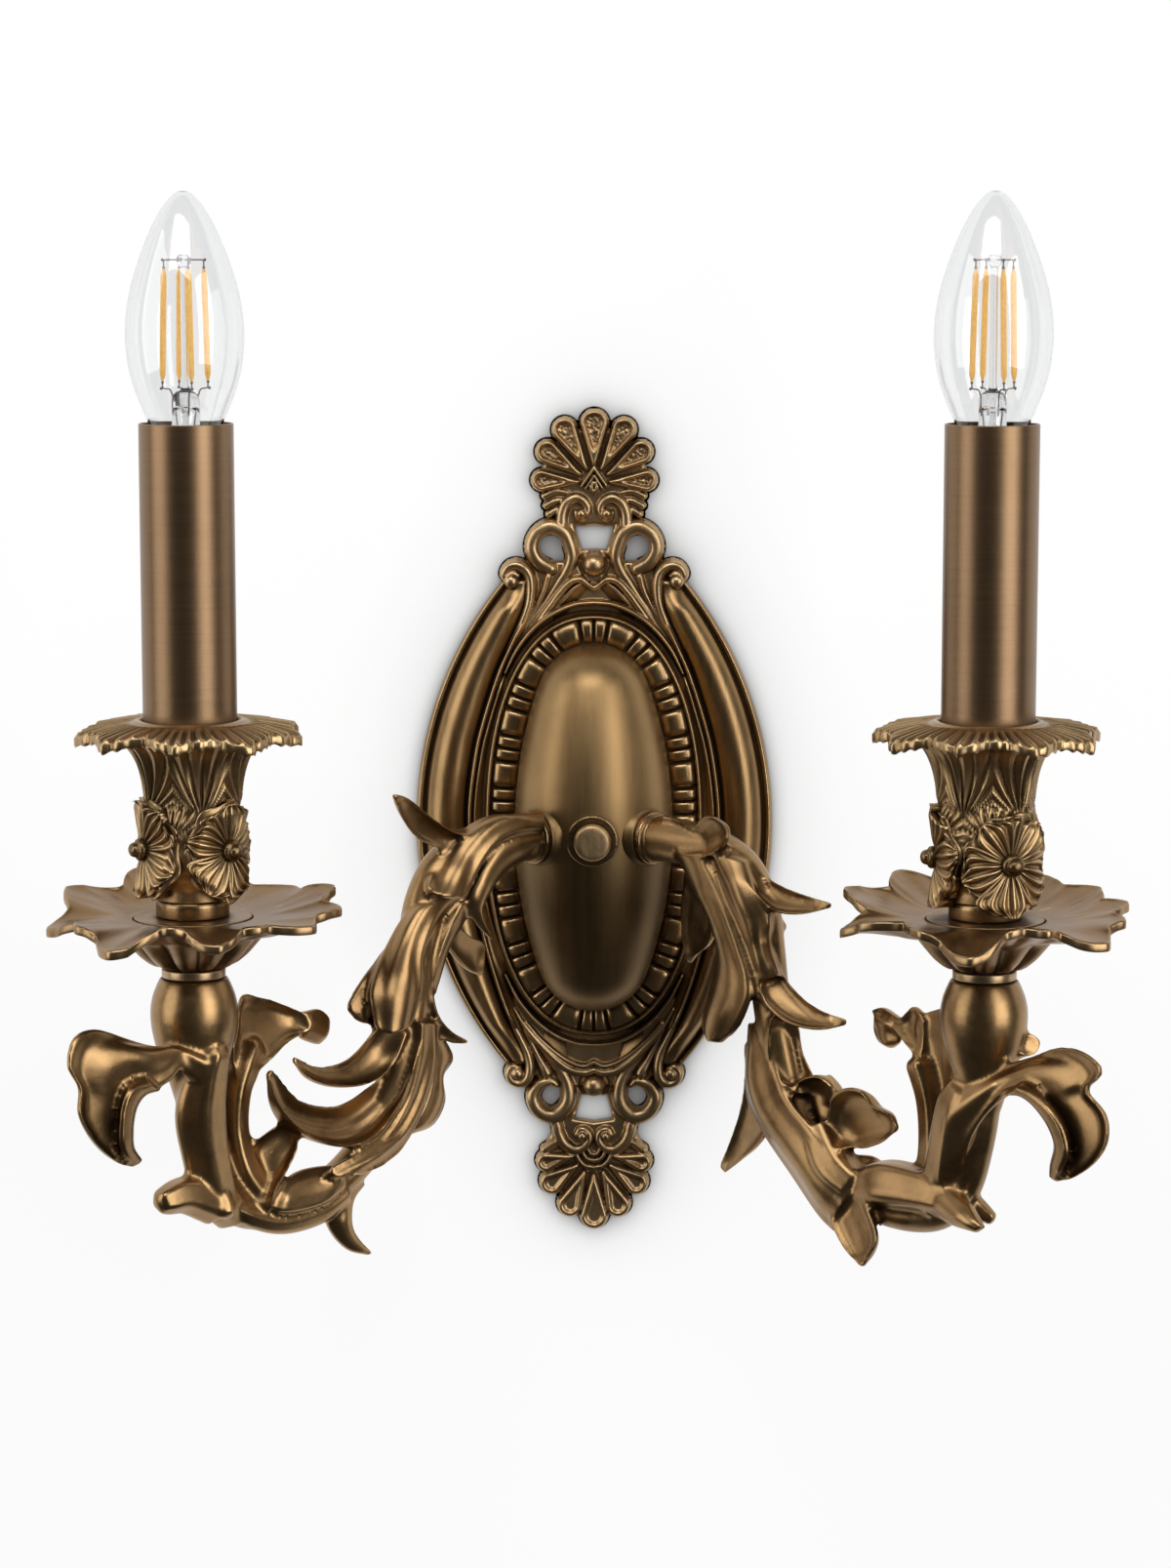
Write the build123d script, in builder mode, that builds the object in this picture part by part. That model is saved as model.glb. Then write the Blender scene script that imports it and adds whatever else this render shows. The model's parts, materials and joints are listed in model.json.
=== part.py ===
from build123d import *

import os
from math import atan2, cos, hypot, radians, sin, sqrt, tan

# Double arm wall sconce. Millimetres, +Z up, the wall is the plane Y = 0 and the light faces -Y.
# The origin is the centre of the wall bracket's back face.

# ---- Where the two candles stand ----
candle_x = 118.5  # each candle's axis from the middle
candle_reach = 120.0  # candle axis from the wall

# ---- Backplate ----
side_arc_radius = 126.5
plate_half_width = 58.5
plate_waist_z = 80.0  # where the side arcs end, above and below
rim_thickness = 4.0
panel_inset = 3.5
panel_rise = 5.0
panel_taper = 40
back_rim = 5.0  # width of the rim that touches the wall
panel_pocket = 3.5
ring_half_width = 34.6
ring_half_height = 69.3
ring_end_radius = 27.0
rail_width = 3.0
rail_rise = 6.5
band_depth = 2.0
ring_pocket = 6.5
dome_half_width = 25.7
dome_half_height = 60.0
dome_axis = 14.3  # the dome's upright centre line from the wall
dome_wall = 2.5
dome_end_radius = 18.5

crest_thickness = 5.0
ball_radius = 3.7
loop_wire = 2.4
scroll_radius = 5.4
# Each crest: hub height, hub disc radius, loop place (x, z), loop radius, loop hole, scroll place (x, z),
# ball height, opening and neck as (half width, z, half width, z), lobes as (angle, reach, tip radius)
top_crest = dict(
    hub_z=112.0,
    hub_radius=17.0,
    loop=(13.9, 91.4),
    loop_radius=8.6,
    loop_hole=3.45,
    scroll=(27.0, 80.5),
    ball_z=85.0,
    opening=(6.4, 98.3, 3.7, 89.8),
    neck=(24.0, 74.0, 13.0, 106.0),
    lobes=((0, 24.1, 6.0), (33.5, 22.7, 5.2), (58, 21.4, 5.2), (87.7, 20.3, 5.0), (114.6, 18.3, 4.2)),
)
bottom_crest = dict(
    hub_z=-111.6,
    hub_radius=14.5,
    loop=(14.4, -91.1),
    loop_radius=7.8,
    loop_hole=2.7,
    scroll=(25.2, -82.7),
    ball_z=-88.0,
    opening=(5.85, -100.3, 4.05, -91.7),
    neck=(22.0, -74.0, 12.5, -107.0),
    lobes=((0, 25.4, 6.0), (28, 21.4, 5.2), (57.5, 19.4, 5.0), (85, 18.6, 4.6)),
)

# ---- Screws and threads ----
thread_gap = 0.05
hole_gap = 0.25
small_screw_radius = 2.0  # M4
stud_radius = 2.5  # M5
tube_radius = 4.95  # M10 hollow thread
tube_bore = 3.2
tube_nut_flats = 14.0
tube_nut_height = 4.0
stud_nut_flats = 8.0
stud_nut_height = 4.0
washer_radius = 7.0
washer_thickness = 1.2

# ---- Bracket and what it carries ----
bracket_width = 18.0
bracket_height = 84.0
bracket_thickness = 2.0
bracket_corner = 4.0
wall_hole_spacing = 66.0
wall_hole_radius = 2.5
screw_tail = 0.3  # the wall side ends of the screws stay this far from the wall
earth_z = -22.0
screw_head_radius = 4.0
screw_head_height = 2.4
screw_slot_length = 6.0
screw_slot_width = 0.8
screw_slot_depth = 1.2
block_width = 24.0
block_height = 14.0
block_depth = 12.0
block_z = 18.0
block_entry_radius = 1.6
block_entry_forward = 1.0  # wire entries forward of the block's middle
block_entry_depth = 5.0
block_pitch = 7.0
block_screw_radius = 1.7
block_screw_height = 0.9

# ---- Knob ----
knob_flange_radius = 8.3
knob_flange = 1.5
knob_radius = 5.95
knob_height = 4.5
knob_thread = 3.0
knob_edge = 1.2
knob_flange_edge = 0.5

# ---- Arms ----
arm_seat_angle = 45.087  # round the dome from its front to each arm's seat
arm_seat_x = dome_half_width * sin(radians(arm_seat_angle))
boss_radius = 8.8
boss_proud = 0.4
boss_inner = -3.0
spot_face_depth = 8.0
collar_radius = 8.6
collar_neck_radius = 7.8
collar_height = 4.0
collar_band = 2.4  # its wider part, on the dome side
nipple_inner_end = -11.0
nipple_in_arm = 10.0
arm_radius = 7.0
arm_bore = 3.0
lead_radius = 1.6
lead_straight = 7.0  # out of the terminal block
lead_entry_run = 5.0  # the lead turns on to the arm's axis this far behind the hollow tube
# The arm's centre line is drawn for this run, from the dome to the candle axis, and stretches with it.
drawn_run = 134.0
# (run from the dome, height), one point for each bend
arm_bends = [(27, 0), (47, -21), (53.5, -60), (66.5, -91), (97.5, -106), (121, -101), (134, -52)]
bend_share = 0.45  # of the shorter straight, taken by each bend
vase_top = -29.0
vase_outline = [(10.2, -29.0), (12.6, -34.0), (13.4, -41.0), (11.6, -53.0), (7.0, -64.0), (3.0, -70.0)]
tube_socket = 14.0
leaf_thickness = 3.2

# Leaves of each arm: centre line points (run, height, out from the arm's plane to the room), and widths.
left_leaves = [
    ([(34, 0, 1), (48, 7, 3), (62.5, 19.3, 6)], (13, 11, 3)),
    ([(13, 1, 4), (31, -3, 7), (44, -15, 9)], (8, 14, 12)),
    ([(33, -12, 3), (31, -24, 6), (27, -30, 9)], (10, 7, 2.5)),
    ([(34, -12, -3), (22, -34, -8), (14.6, -45, -11)], (11, 10, 2.5)),
    ([(46, -14, 3), (60, -36, 7), (69.5, -54, 9)], (10, 16, 11)),
    ([(54, -30, -3), (62, -44, -6), (68, -51, -8)], (11, 12, 6)),
    ([(50, -34, 3), (44, -53, 5), (34.5, -61.5, 6)], (10, 9, 2.5)),
    ([(56, -52, 3), (84, -69, 8), (105, -57, 9)], (14, 12, 3)),
    ([(58, -66, 4), (88, -84, 9), (115, -59, 12)], (14, 14, 3)),
    ([(54, -54, -4), (41, -72, -8), (45, -92, -8)], (11, 16, 6)),
    ([(60, -74, 3), (66, -90, 6), (78, -101, 9)], (12, 16, 9)),
    ([(84, -101, 0), (80, -115, 1), (71, -125.5, 2)], (11, 8, 2.5)),
    ([(106, -103, 1), (104.5, -91, 5), (105, -79, 5)], (9, 15, 9)),
    ([(121, -99, 0), (141, -95, 2), (154, -96, 4)], (12, 10, 4)),
    ([(123, -97, 2), (129, -101, 6), (130, -104, 10)], (10, 8, 3)),
    ([(131, -62, 2), (150, -48, 7), (172, -43, 9), (182, -57, 11), (169, -78, 10)], (10, 18, 20, 19, 7)),
    ([(126, -77, -2), (112, -56, -4), (97, -47, -5), (81, -52, -6)], (9, 14, 13, 6)),
]
right_leaves = [
    ([(18, 0, 3), (34, 1, 7), (42, 11.5, 10)], (9, 11, 7)),
    ([(38, -7, 1), (55, -11, 0), (73.5, -14, -2)], (14, 11, 3)),
    ([(45, -24, 3), (41, -46, 7), (34, -60, 9)], (10, 14, 6)),
    ([(30, -8, -3), (18, -28, -7), (10, -41, -10)], (10, 9, 2.5)),
    ([(42, -14, -3), (45, -20, -8), (48, -25, -12)], (9, 7, 2.5)),
    ([(50, -34, 2), (62, -46, 1), (81, -49.5, 0)], (14, 11, 3)),
    ([(52, -56, -3), (37, -84, -8), (24, -107, -10)], (11, 9, 3)),
    ([(53, -56, -3), (61, -68, -6), (70.5, -73, -7)], (11, 9, 4)),
    ([(72, -92, 2), (85, -76, 5), (104, -77, 5)], (10, 16, 12)),
    ([(76, -93, -4), (87, -95, -8), (93, -97, -11)], (9, 7, 3)),
    ([(88, -99, 1), (92, -113, 5), (95, -123.5, 7)], (12, 10, 2.5)),
    ([(118, -99, 2), (132, -100, 6), (141, -104, 8)], (11, 9, 3)),
    ([(119, -100, -2), (130, -101.5, -4), (137, -103.5, -5)], (10, 7, 3)),
    ([(127, -80, -2), (114, -61, -4), (103, -49, -5), (88, -47, -6)], (9, 12, 11, 6)),
    ([(132, -60, -3), (141, -51, -8), (147, -47.5, -11)], (9, 7, 3)),
    ([(131, -64, 3), (152, -50, 8), (174, -48, 10), (186, -64, 11), (171, -82, 10)], (10, 18, 20, 19, 7)),
]

# ---- Stack on each vase, from the bottom up ----
neck_ring_radius = 9.6
neck_ring_height = 3.0
pan_radius = 43.5
pan_petals = 9
pan_notch = 6.0
pan_notch_out = 2.0  # the notches' centres outside the rim
pan_floor_rise = 14.3  # seat disc's underside above the pan's foot
pan_boss_radius = 8.0
pan_lip = 2.0  # how far the pan reaches in under the seat disc
pan_recess_depth = 1.2
# The pan's section in (radius, height above its foot): up the outside, back inside, hollow under the disc
pan_outside = [(14.0, 2.5), (20.0, 9.5), (31.0, 13.0), (pan_radius, 16.5)]
pan_inside = [(pan_radius, 18.5), (31.0, 15.4)]
pan_under_disc = [(12.5, 5.5), (pan_boss_radius, 3.0)]
pan_lip_thickness = 1.8
seat_disc_radius = 17.7
seat_disc_thickness = 1.2
foot_radius = 11.0
foot_height = 5.5
cup_floor = 4.0
cup_inner_radius = 11.0
cup_height = 54.0
cup_recess_depth = 5.0
cup_recess_wall = 3.2
cup_flange_radius = 34.75
cup_notches = 16
cup_notch_radius = 3.0
cup_notch_out = 0.8
cup_flange_thickness = 2.0
cup_flange_drop = 3.5  # the rim's upper edge below the mouth
# The cup's body in (how far its outside stands off the sleeve's recess, height above its foot)
cup_body = [(2.8, 7.0), (3.3, 14.0), (1.3, 23.0), (1.3, 33.0), (3.5, 40.5), (6.7, 45.0)]
cup_foot_flare = 3.0
seat_gap = 0.3

# ---- Lampholder and sleeve ----
holder_radius = 12.0
holder_bottom = 84.0
holder_top = 130.4
holder_thread = 9.0
holder_web = 6.0
wire_hole = 2.0
shell_wall = 0.6
shell_bottom = 108.0
shell_top = 123.0
holder_mouth_radius = 9.0
holder_mouth = 6.9
holder_chamfer = 1.5
contact_height = 7.0
contact_inset = 1.0  # the contact's plate inside the shell's bore
sleeve_gap = 1.2
sleeve_wall = 0.8
sleeve_top = 136.6

# ---- Lamp ----
cap_radius = 6.95  # E14
cap_gap = 0.05
cap_wall = 0.4
cap_bottom = 109.8
cap_flare_bottom = 125.5
cap_flare_slope = 1.0  # half the height over which the cap flares
cap_flare_radius = 8.5
cap_top = 131.0
tip_radius = 2.4
tip_bottom = 106.3
tip_height = 1.0
glass_wall = 0.8
lamp_tip = 204.3
# (radius, height) of the clear glass, from its neck to just under its tip
glass_outline = [
    (8.2, 131.0),
    (12.4, 139.9),
    (16.6, 152.1),
    (17.5, 162.5),
    (15.8, 176.0),
    (13.4, 183.9),
    (9.3, 194.0),
]
stem_radius = 4.15
stem_flare_top = 136.0
stem_shoulder = 146.3
rod_radius = 1.25
bead_radius = 2.15
bead_bottom = 182.6
bead_top = 185.8
filament_radius = 0.9
filament_bottom = 149.0
filament_top = 181.6
filament_low_ring = 6.9
filament_high_ring = 6.0
filament_low_turn = 22.0
filament_high_turn = 19.5
filament_count = 4
wire_radius = 0.25
wire_bend = 0.7
touch_gap = 0.1


# ---- Shared shapes ----
def save(part, name):
    """Labels a finished piece and writes it to its own file."""
    part.label = name
    export_step(part, f"parts/{name}.step")


def turned(foot, outline):
    """A turned piece: an outline of (radius, height) points spun about the upright line through foot."""
    with BuildPart() as piece:
        with BuildSketch(Plane(origin=foot, x_dir=(1, 0, 0), z_dir=(0, -1, 0))):
            with BuildLine():
                Polyline(*outline, close=True)
            make_face()
        revolve(axis=Axis(foot, (0, 0, 1)))
    return piece.part


def ring(plane, outer, inner, height):
    """A flat ring or short tube standing on a plane."""
    with BuildPart() as piece:
        with BuildSketch(plane):
            Circle(outer)
            Circle(inner, mode=Mode.SUBTRACT)
        extrude(amount=height)
    return piece.part


def hex_nut(plane, flats, hole, height):
    """A plain hexagon nut standing on a plane."""
    with BuildPart() as piece:
        with BuildSketch(plane):
            RegularPolygon(flats / 2, 6, major_radius=False)
            Circle(hole, mode=Mode.SUBTRACT)
        extrude(amount=height)
    return piece.part


def bend_radii(points):
    """For a route of straight runs, the bend radius at each inner point."""
    radii = []
    for before, here, after in zip(points, points[1:], points[2:]):
        arrive = here - before
        leave = after - here
        turn = radians(arrive.get_angle(leave))
        radii.append(bend_share * min(arrive.length, leave.length) / tan(turn / 2))
    return radii


def round_bar(points, radii, radius):
    """A round bar along straight runs joined by bends."""
    with BuildPart() as bar:
        with BuildLine() as route:
            FilletPolyline(*points, radius=radii)
        path = route.wires()[0]
        with BuildSketch(Plane(origin=path @ 0, z_dir=path % 0)):
            Circle(radius)
        sweep(path=path)
    return bar.part


def side_arcs(inset, end_z):
    """Closed outline of the pointed oval body: two side arcs cut off level at plus and minus end_z."""
    radius = side_arc_radius - inset
    centre = side_arc_radius - plate_half_width
    end_x = sqrt(radius**2 - end_z**2) - centre
    waist = radius - centre
    ThreePointArc((end_x, -end_z), (waist, 0), (end_x, end_z))
    Line((end_x, end_z), (-end_x, end_z))
    ThreePointArc((-end_x, end_z), (-waist, 0), (-end_x, -end_z))
    Line((-end_x, -end_z), (end_x, -end_z))


def oval_join(half_width, half_height, end_radius):
    """Where an upright oval's end arcs meet its long side arcs, to the right and above the middle."""
    end_centre = half_height - end_radius
    long_radius = (half_width**2 + end_centre**2 - end_radius**2) / (2 * (half_width - end_radius))
    lean = atan2(end_centre, long_radius - half_width)
    return end_radius * cos(lean), end_centre + end_radius * sin(lean)


def four_arc_oval(half_width, half_height, end_radius):
    """Closed upright oval of two end arcs and two long side arcs that meet them smoothly."""
    join_x, join_z = oval_join(half_width, half_height, end_radius)
    ThreePointArc((join_x, -join_z), (half_width, 0), (join_x, join_z))
    ThreePointArc((join_x, join_z), (0, half_height), (-join_x, join_z))
    ThreePointArc((-join_x, join_z), (-half_width, 0), (-join_x, -join_z))
    ThreePointArc((-join_x, -join_z), (0, -half_height), (join_x, -join_z))


def long_dome(shrink):
    """An upright oval solid: half of a four-arc oval spun about the dome's centre line."""
    centre = (0, -dome_axis, 0)
    half_width = dome_half_width - shrink
    half_height = dome_half_height - shrink
    end_radius = dome_end_radius - shrink
    join_x, join_z = oval_join(half_width, half_height, end_radius)
    tip = sqrt(0.5) * end_radius
    end_centre = half_height - end_radius
    with BuildPart() as dome:
        with BuildSketch(Plane(origin=centre, x_dir=(0, 1, 0), z_dir=(1, 0, 0))):
            with BuildLine():
                ThreePointArc((0, -half_height), (tip, -end_centre - tip), (join_x, -join_z))
                ThreePointArc((join_x, -join_z), (half_width, 0), (join_x, join_z))
                ThreePointArc((join_x, join_z), (tip, end_centre + tip), (0, half_height))
                Line((0, half_height), (0, -half_height))
            make_face()
        revolve(axis=Axis(centre, (0, 0, 1)))
    return dome.part


# ---- Places that several pieces share ----
front = Plane.XZ
dome_front = dome_axis + dome_half_width
arm_seat_y = -(dome_axis + sqrt(dome_half_width**2 - arm_seat_x**2))
arm_angle = atan2(candle_reach + arm_seat_y, candle_x - arm_seat_x)
arm_run = hypot(candle_reach + arm_seat_y, candle_x - arm_seat_x)
arm_stretch = arm_run / drawn_run
arm_start = boss_proud + collar_height
stud_hole = stud_radius + hole_gap
tube_hole = tube_radius + hole_gap
nut_corner = tube_nut_flats / sqrt(3)

neck_ring_bottom = vase_top
pan_bottom = neck_ring_bottom + neck_ring_height
disc_bottom = pan_bottom + pan_floor_rise
foot_bottom = disc_bottom + seat_disc_thickness
cup_bottom = foot_bottom + foot_height
cup_top = cup_bottom + cup_height
sleeve_bottom = cup_top - cup_recess_depth
sleeve_inner = holder_radius + sleeve_gap
sleeve_outer = sleeve_inner + sleeve_wall
recess_radius = sleeve_outer + seat_gap
cup_nut_bottom = cup_bottom + cup_floor
candle_tube_bottom = vase_top - tube_socket
candle_tube_top = holder_bottom + holder_thread
shell_inner = cap_radius + cap_gap
shell_outer = shell_inner + shell_wall


def arm_point(side, run, rise, out=0.0):
    """A point by its run from the dome, its height, and its distance out of the arm's plane."""
    x = arm_seat_x + run * cos(arm_angle) - out * sin(arm_angle)
    y = arm_seat_y - run * sin(arm_angle) - out * cos(arm_angle)
    return Vector(side * x, y, rise)


def arm_plane(side, run):
    """The plane across the arm's axis at the dome, facing away from the dome."""
    outward = (side * cos(arm_angle), -sin(arm_angle), 0)
    return Plane(origin=arm_point(side, run, 0), x_dir=(0, 0, 1), z_dir=outward)


def arm_route(side):
    """Points of the arm's centre line, from the collar to the vase's top."""
    inner = [arm_point(side, run * arm_stretch, rise) for run, rise in arm_bends]
    return [arm_point(side, arm_start, 0), *inner, arm_point(side, arm_run, vase_top)]


def leaf(side, points, widths):
    """A leaf of the arm casting: oval sections lofted along its centre line, broad side to the room."""
    line = [arm_point(side, run * arm_stretch, rise, out) for run, rise, out in points]
    facing = arm_point(side, 0, 0, 1) - arm_point(side, 0, 0, 0)
    with BuildPart() as blade:
        for index, width in enumerate(widths):
            before = line[max(index - 1, 0)]
            after = line[min(index + 1, len(line) - 1)]
            along = (after - before).normalized()
            across = along.cross(facing).normalized()
            with BuildSketch(Plane(origin=line[index], x_dir=across, z_dir=along)):
                Ellipse(width / 2, leaf_thickness / 2)
        loft()
    return blade.part


os.makedirs("parts", exist_ok=True)

# ---- Wall bracket ----
with BuildPart() as wall_bracket:
    with BuildSketch(front):
        RectangleRounded(bracket_width, bracket_height, bracket_corner)
        with GridLocations(0, wall_hole_spacing, 1, 2):
            Circle(wall_hole_radius, mode=Mode.SUBTRACT)
        Circle(stud_radius + thread_gap, mode=Mode.SUBTRACT)
        with Locations((0, earth_z)):
            Circle(small_screw_radius + thread_gap, mode=Mode.SUBTRACT)
    extrude(amount=bracket_thickness)
save(wall_bracket.part, "wall_bracket")

# ---- Stud, its lock nut, earth screw ----
stud_end = dome_front + knob_flange + knob_thread
with BuildPart() as mounting_stud:
    with BuildSketch(front.offset(screw_tail)):
        Circle(stud_radius)
    extrude(amount=stud_end - screw_tail)
save(mounting_stud.part, "mounting_stud")

stud_nut = hex_nut(front.offset(bracket_thickness), stud_nut_flats, stud_radius + thread_gap, stud_nut_height)
save(stud_nut, "stud_nut")

with BuildPart() as earth_screw:
    with BuildSketch(front.offset(screw_tail)):
        with Locations((0, earth_z)):
            Circle(small_screw_radius)
    extrude(amount=bracket_thickness - screw_tail)
    with BuildSketch(front.offset(bracket_thickness)):
        with Locations((0, earth_z)):
            Circle(screw_head_radius)
    extrude(amount=screw_head_height)
    with BuildSketch(front.offset(bracket_thickness + screw_head_height)):
        with Locations((0, earth_z)):
            Rectangle(screw_slot_length, screw_slot_width)
    extrude(amount=-screw_slot_depth, mode=Mode.SUBTRACT)
save(earth_screw.part, "earth_screw")

# ---- Terminal block and its screws ----
block_front = bracket_thickness + block_depth
entry_y = -(bracket_thickness + block_depth / 2 + block_entry_forward)
block_middle = block_z + block_height / 2
with BuildPart() as terminal_block:
    with BuildSketch(front.offset(bracket_thickness)):
        with Locations((0, block_middle)):
            Rectangle(block_width, block_height)
    extrude(amount=block_depth)
    with BuildSketch(Plane.XY.offset(block_z + block_height)):
        with Locations((0, entry_y)):
            with GridLocations(block_pitch, 0, 3, 1):
                Circle(block_entry_radius)
    extrude(amount=-block_entry_depth, mode=Mode.SUBTRACT)
save(terminal_block.part, "terminal_block")

with BuildPart() as terminal_screws:
    with BuildSketch(front.offset(block_front)):
        with Locations((0, block_middle)):
            with GridLocations(block_pitch, block_height / 2, 3, 2):
                Circle(block_screw_radius)
    extrude(amount=block_screw_height)
save(terminal_screws.part, "terminal_screws")


# ---- Backplate ----
def crest_outline(crest):
    """Flat outline of a crest: neck, loops, scrolls and the fan of lobes, less its openings."""
    hub_z = crest["hub_z"]
    up = 1 if hub_z > 0 else -1
    loop_x, loop_z = crest["loop"]
    scroll_x, scroll_z = crest["scroll"]
    neck_wide, neck_low, neck_narrow, neck_high = crest["neck"]
    wide, wide_z, narrow, narrow_z = crest["opening"]
    with BuildSketch() as outline:
        right_edge = [(neck_wide, neck_low), (neck_narrow, neck_high)]
        Polygon((-neck_wide, neck_low), *right_edge, (-neck_narrow, neck_high), align=None)
        with Locations((0, hub_z)):
            Circle(crest["hub_radius"])
        for angle, reach, radius in crest["lobes"]:
            for turn in {angle, -angle}:
                distance = reach - radius
                lobe_x = distance * sin(radians(turn))
                with Locations((lobe_x, hub_z + up * distance * cos(radians(turn)))):
                    Circle(radius)
        with Locations((loop_x, loop_z), (-loop_x, loop_z)):
            Circle(crest["loop_radius"])
        with Locations((scroll_x, scroll_z), (-scroll_x, scroll_z)):
            Circle(scroll_radius)
        with Locations((loop_x, loop_z), (-loop_x, loop_z)):
            Circle(crest["loop_hole"], mode=Mode.SUBTRACT)
        window = [(-wide, wide_z), (wide, wide_z), (narrow, narrow_z), (-narrow, narrow_z)]
        Polygon(*window, align=None, mode=Mode.SUBTRACT)
    return outline.sketch


crest_outlines = [crest_outline(top_crest), crest_outline(bottom_crest)]
dome_outside = long_dome(0)
dome_inside = long_dome(dome_wall)

with BuildPart() as backplate:
    with BuildSketch(front):
        for crest in crest_outlines:
            add(crest)
    extrude(amount=crest_thickness)
    with BuildSketch(front):
        with BuildLine():
            side_arcs(0, plate_waist_z)
        make_face()
    extrude(amount=rim_thickness)
    with BuildSketch(front.offset(rim_thickness)):
        with BuildLine():
            side_arcs(panel_inset, plate_waist_z - panel_inset)
        make_face()
    extrude(amount=panel_rise, taper=panel_taper)
    with BuildSketch(front.offset(rim_thickness)):
        with BuildLine():
            rail_half_width = ring_half_width + rail_width
            rail_half_height = ring_half_height + rail_width
            four_arc_oval(rail_half_width, rail_half_height, ring_end_radius + rail_width)
        make_face()
    extrude(amount=rail_rise)
    with BuildSketch(front.offset(rim_thickness + rail_rise)):
        with BuildLine():
            four_arc_oval(ring_half_width, ring_half_height, ring_end_radius)
        make_face()
    extrude(amount=-band_depth, mode=Mode.SUBTRACT)
    for crest in (top_crest, bottom_crest):
        loop_x, loop_z = crest["loop"]
        loop_ring = (crest["loop_radius"] + crest["loop_hole"]) / 2
        with Locations((0, -crest_thickness, crest["ball_z"])):
            Sphere(ball_radius)
        for x in (-loop_x, loop_x):
            with Locations(Location((x, -crest_thickness, loop_z), (90, 0, 0))):
                Torus(loop_ring, loop_wire)
    with BuildSketch(front):
        with BuildLine():
            side_arcs(back_rim, plate_waist_z - 2 * back_rim)
        make_face()
    extrude(amount=panel_pocket, mode=Mode.SUBTRACT)
    with BuildSketch(front):
        with BuildLine():
            pocket_inset = rail_width / 2
            four_arc_oval(ring_half_width - pocket_inset, ring_half_height - pocket_inset, ring_end_radius)
        make_face()
    extrude(amount=ring_pocket, mode=Mode.SUBTRACT)
    add(dome_outside)
    add(dome_inside, mode=Mode.SUBTRACT)
    split(bisect_by=Plane.XZ, keep=Keep.TOP)
    for side in (-1, 1):
        with BuildSketch(arm_plane(side, boss_inner)):
            Circle(boss_radius)
        extrude(amount=boss_proud - boss_inner)
        with BuildSketch(arm_plane(side, boss_inner)):
            Circle(nut_corner + 2 * hole_gap)
        extrude(amount=-spot_face_depth, mode=Mode.SUBTRACT)
        with BuildSketch(arm_plane(side, boss_inner - dome_wall)):
            Circle(tube_hole)
        extrude(amount=boss_proud - boss_inner + 2 * dome_wall, mode=Mode.SUBTRACT)
    with BuildSketch(front.offset(dome_front - dome_wall)):
        Circle(knob_flange_radius)
    extrude(amount=dome_wall)
    with BuildSketch(front.offset(dome_front - 2 * dome_wall)):
        Circle(stud_hole)
    extrude(amount=3 * dome_wall, mode=Mode.SUBTRACT)
save(backplate.part, "backplate")

# ---- Knob ----
with BuildPart() as knob_washer:
    with BuildSketch(front.offset(dome_front)):
        Circle(knob_flange_radius)
        Circle(stud_hole, mode=Mode.SUBTRACT)
    extrude(amount=knob_flange)
    fillet(knob_washer.faces().sort_by(Axis.Y)[0].edges().sort_by(SortBy.LENGTH)[-1], radius=knob_flange_edge)
save(knob_washer.part, "knob_washer")

with BuildPart() as knob:
    with BuildSketch(front.offset(dome_front + knob_flange)):
        Circle(knob_radius)
    extrude(amount=knob_height)
    fillet(knob.faces().sort_by(Axis.Y)[0].edges(), radius=knob_edge)
    with BuildSketch(front.offset(dome_front + knob_flange)):
        Circle(stud_radius + thread_gap)
    extrude(amount=knob_thread + touch_gap, mode=Mode.SUBTRACT)
save(knob.part, "knob")


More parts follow.
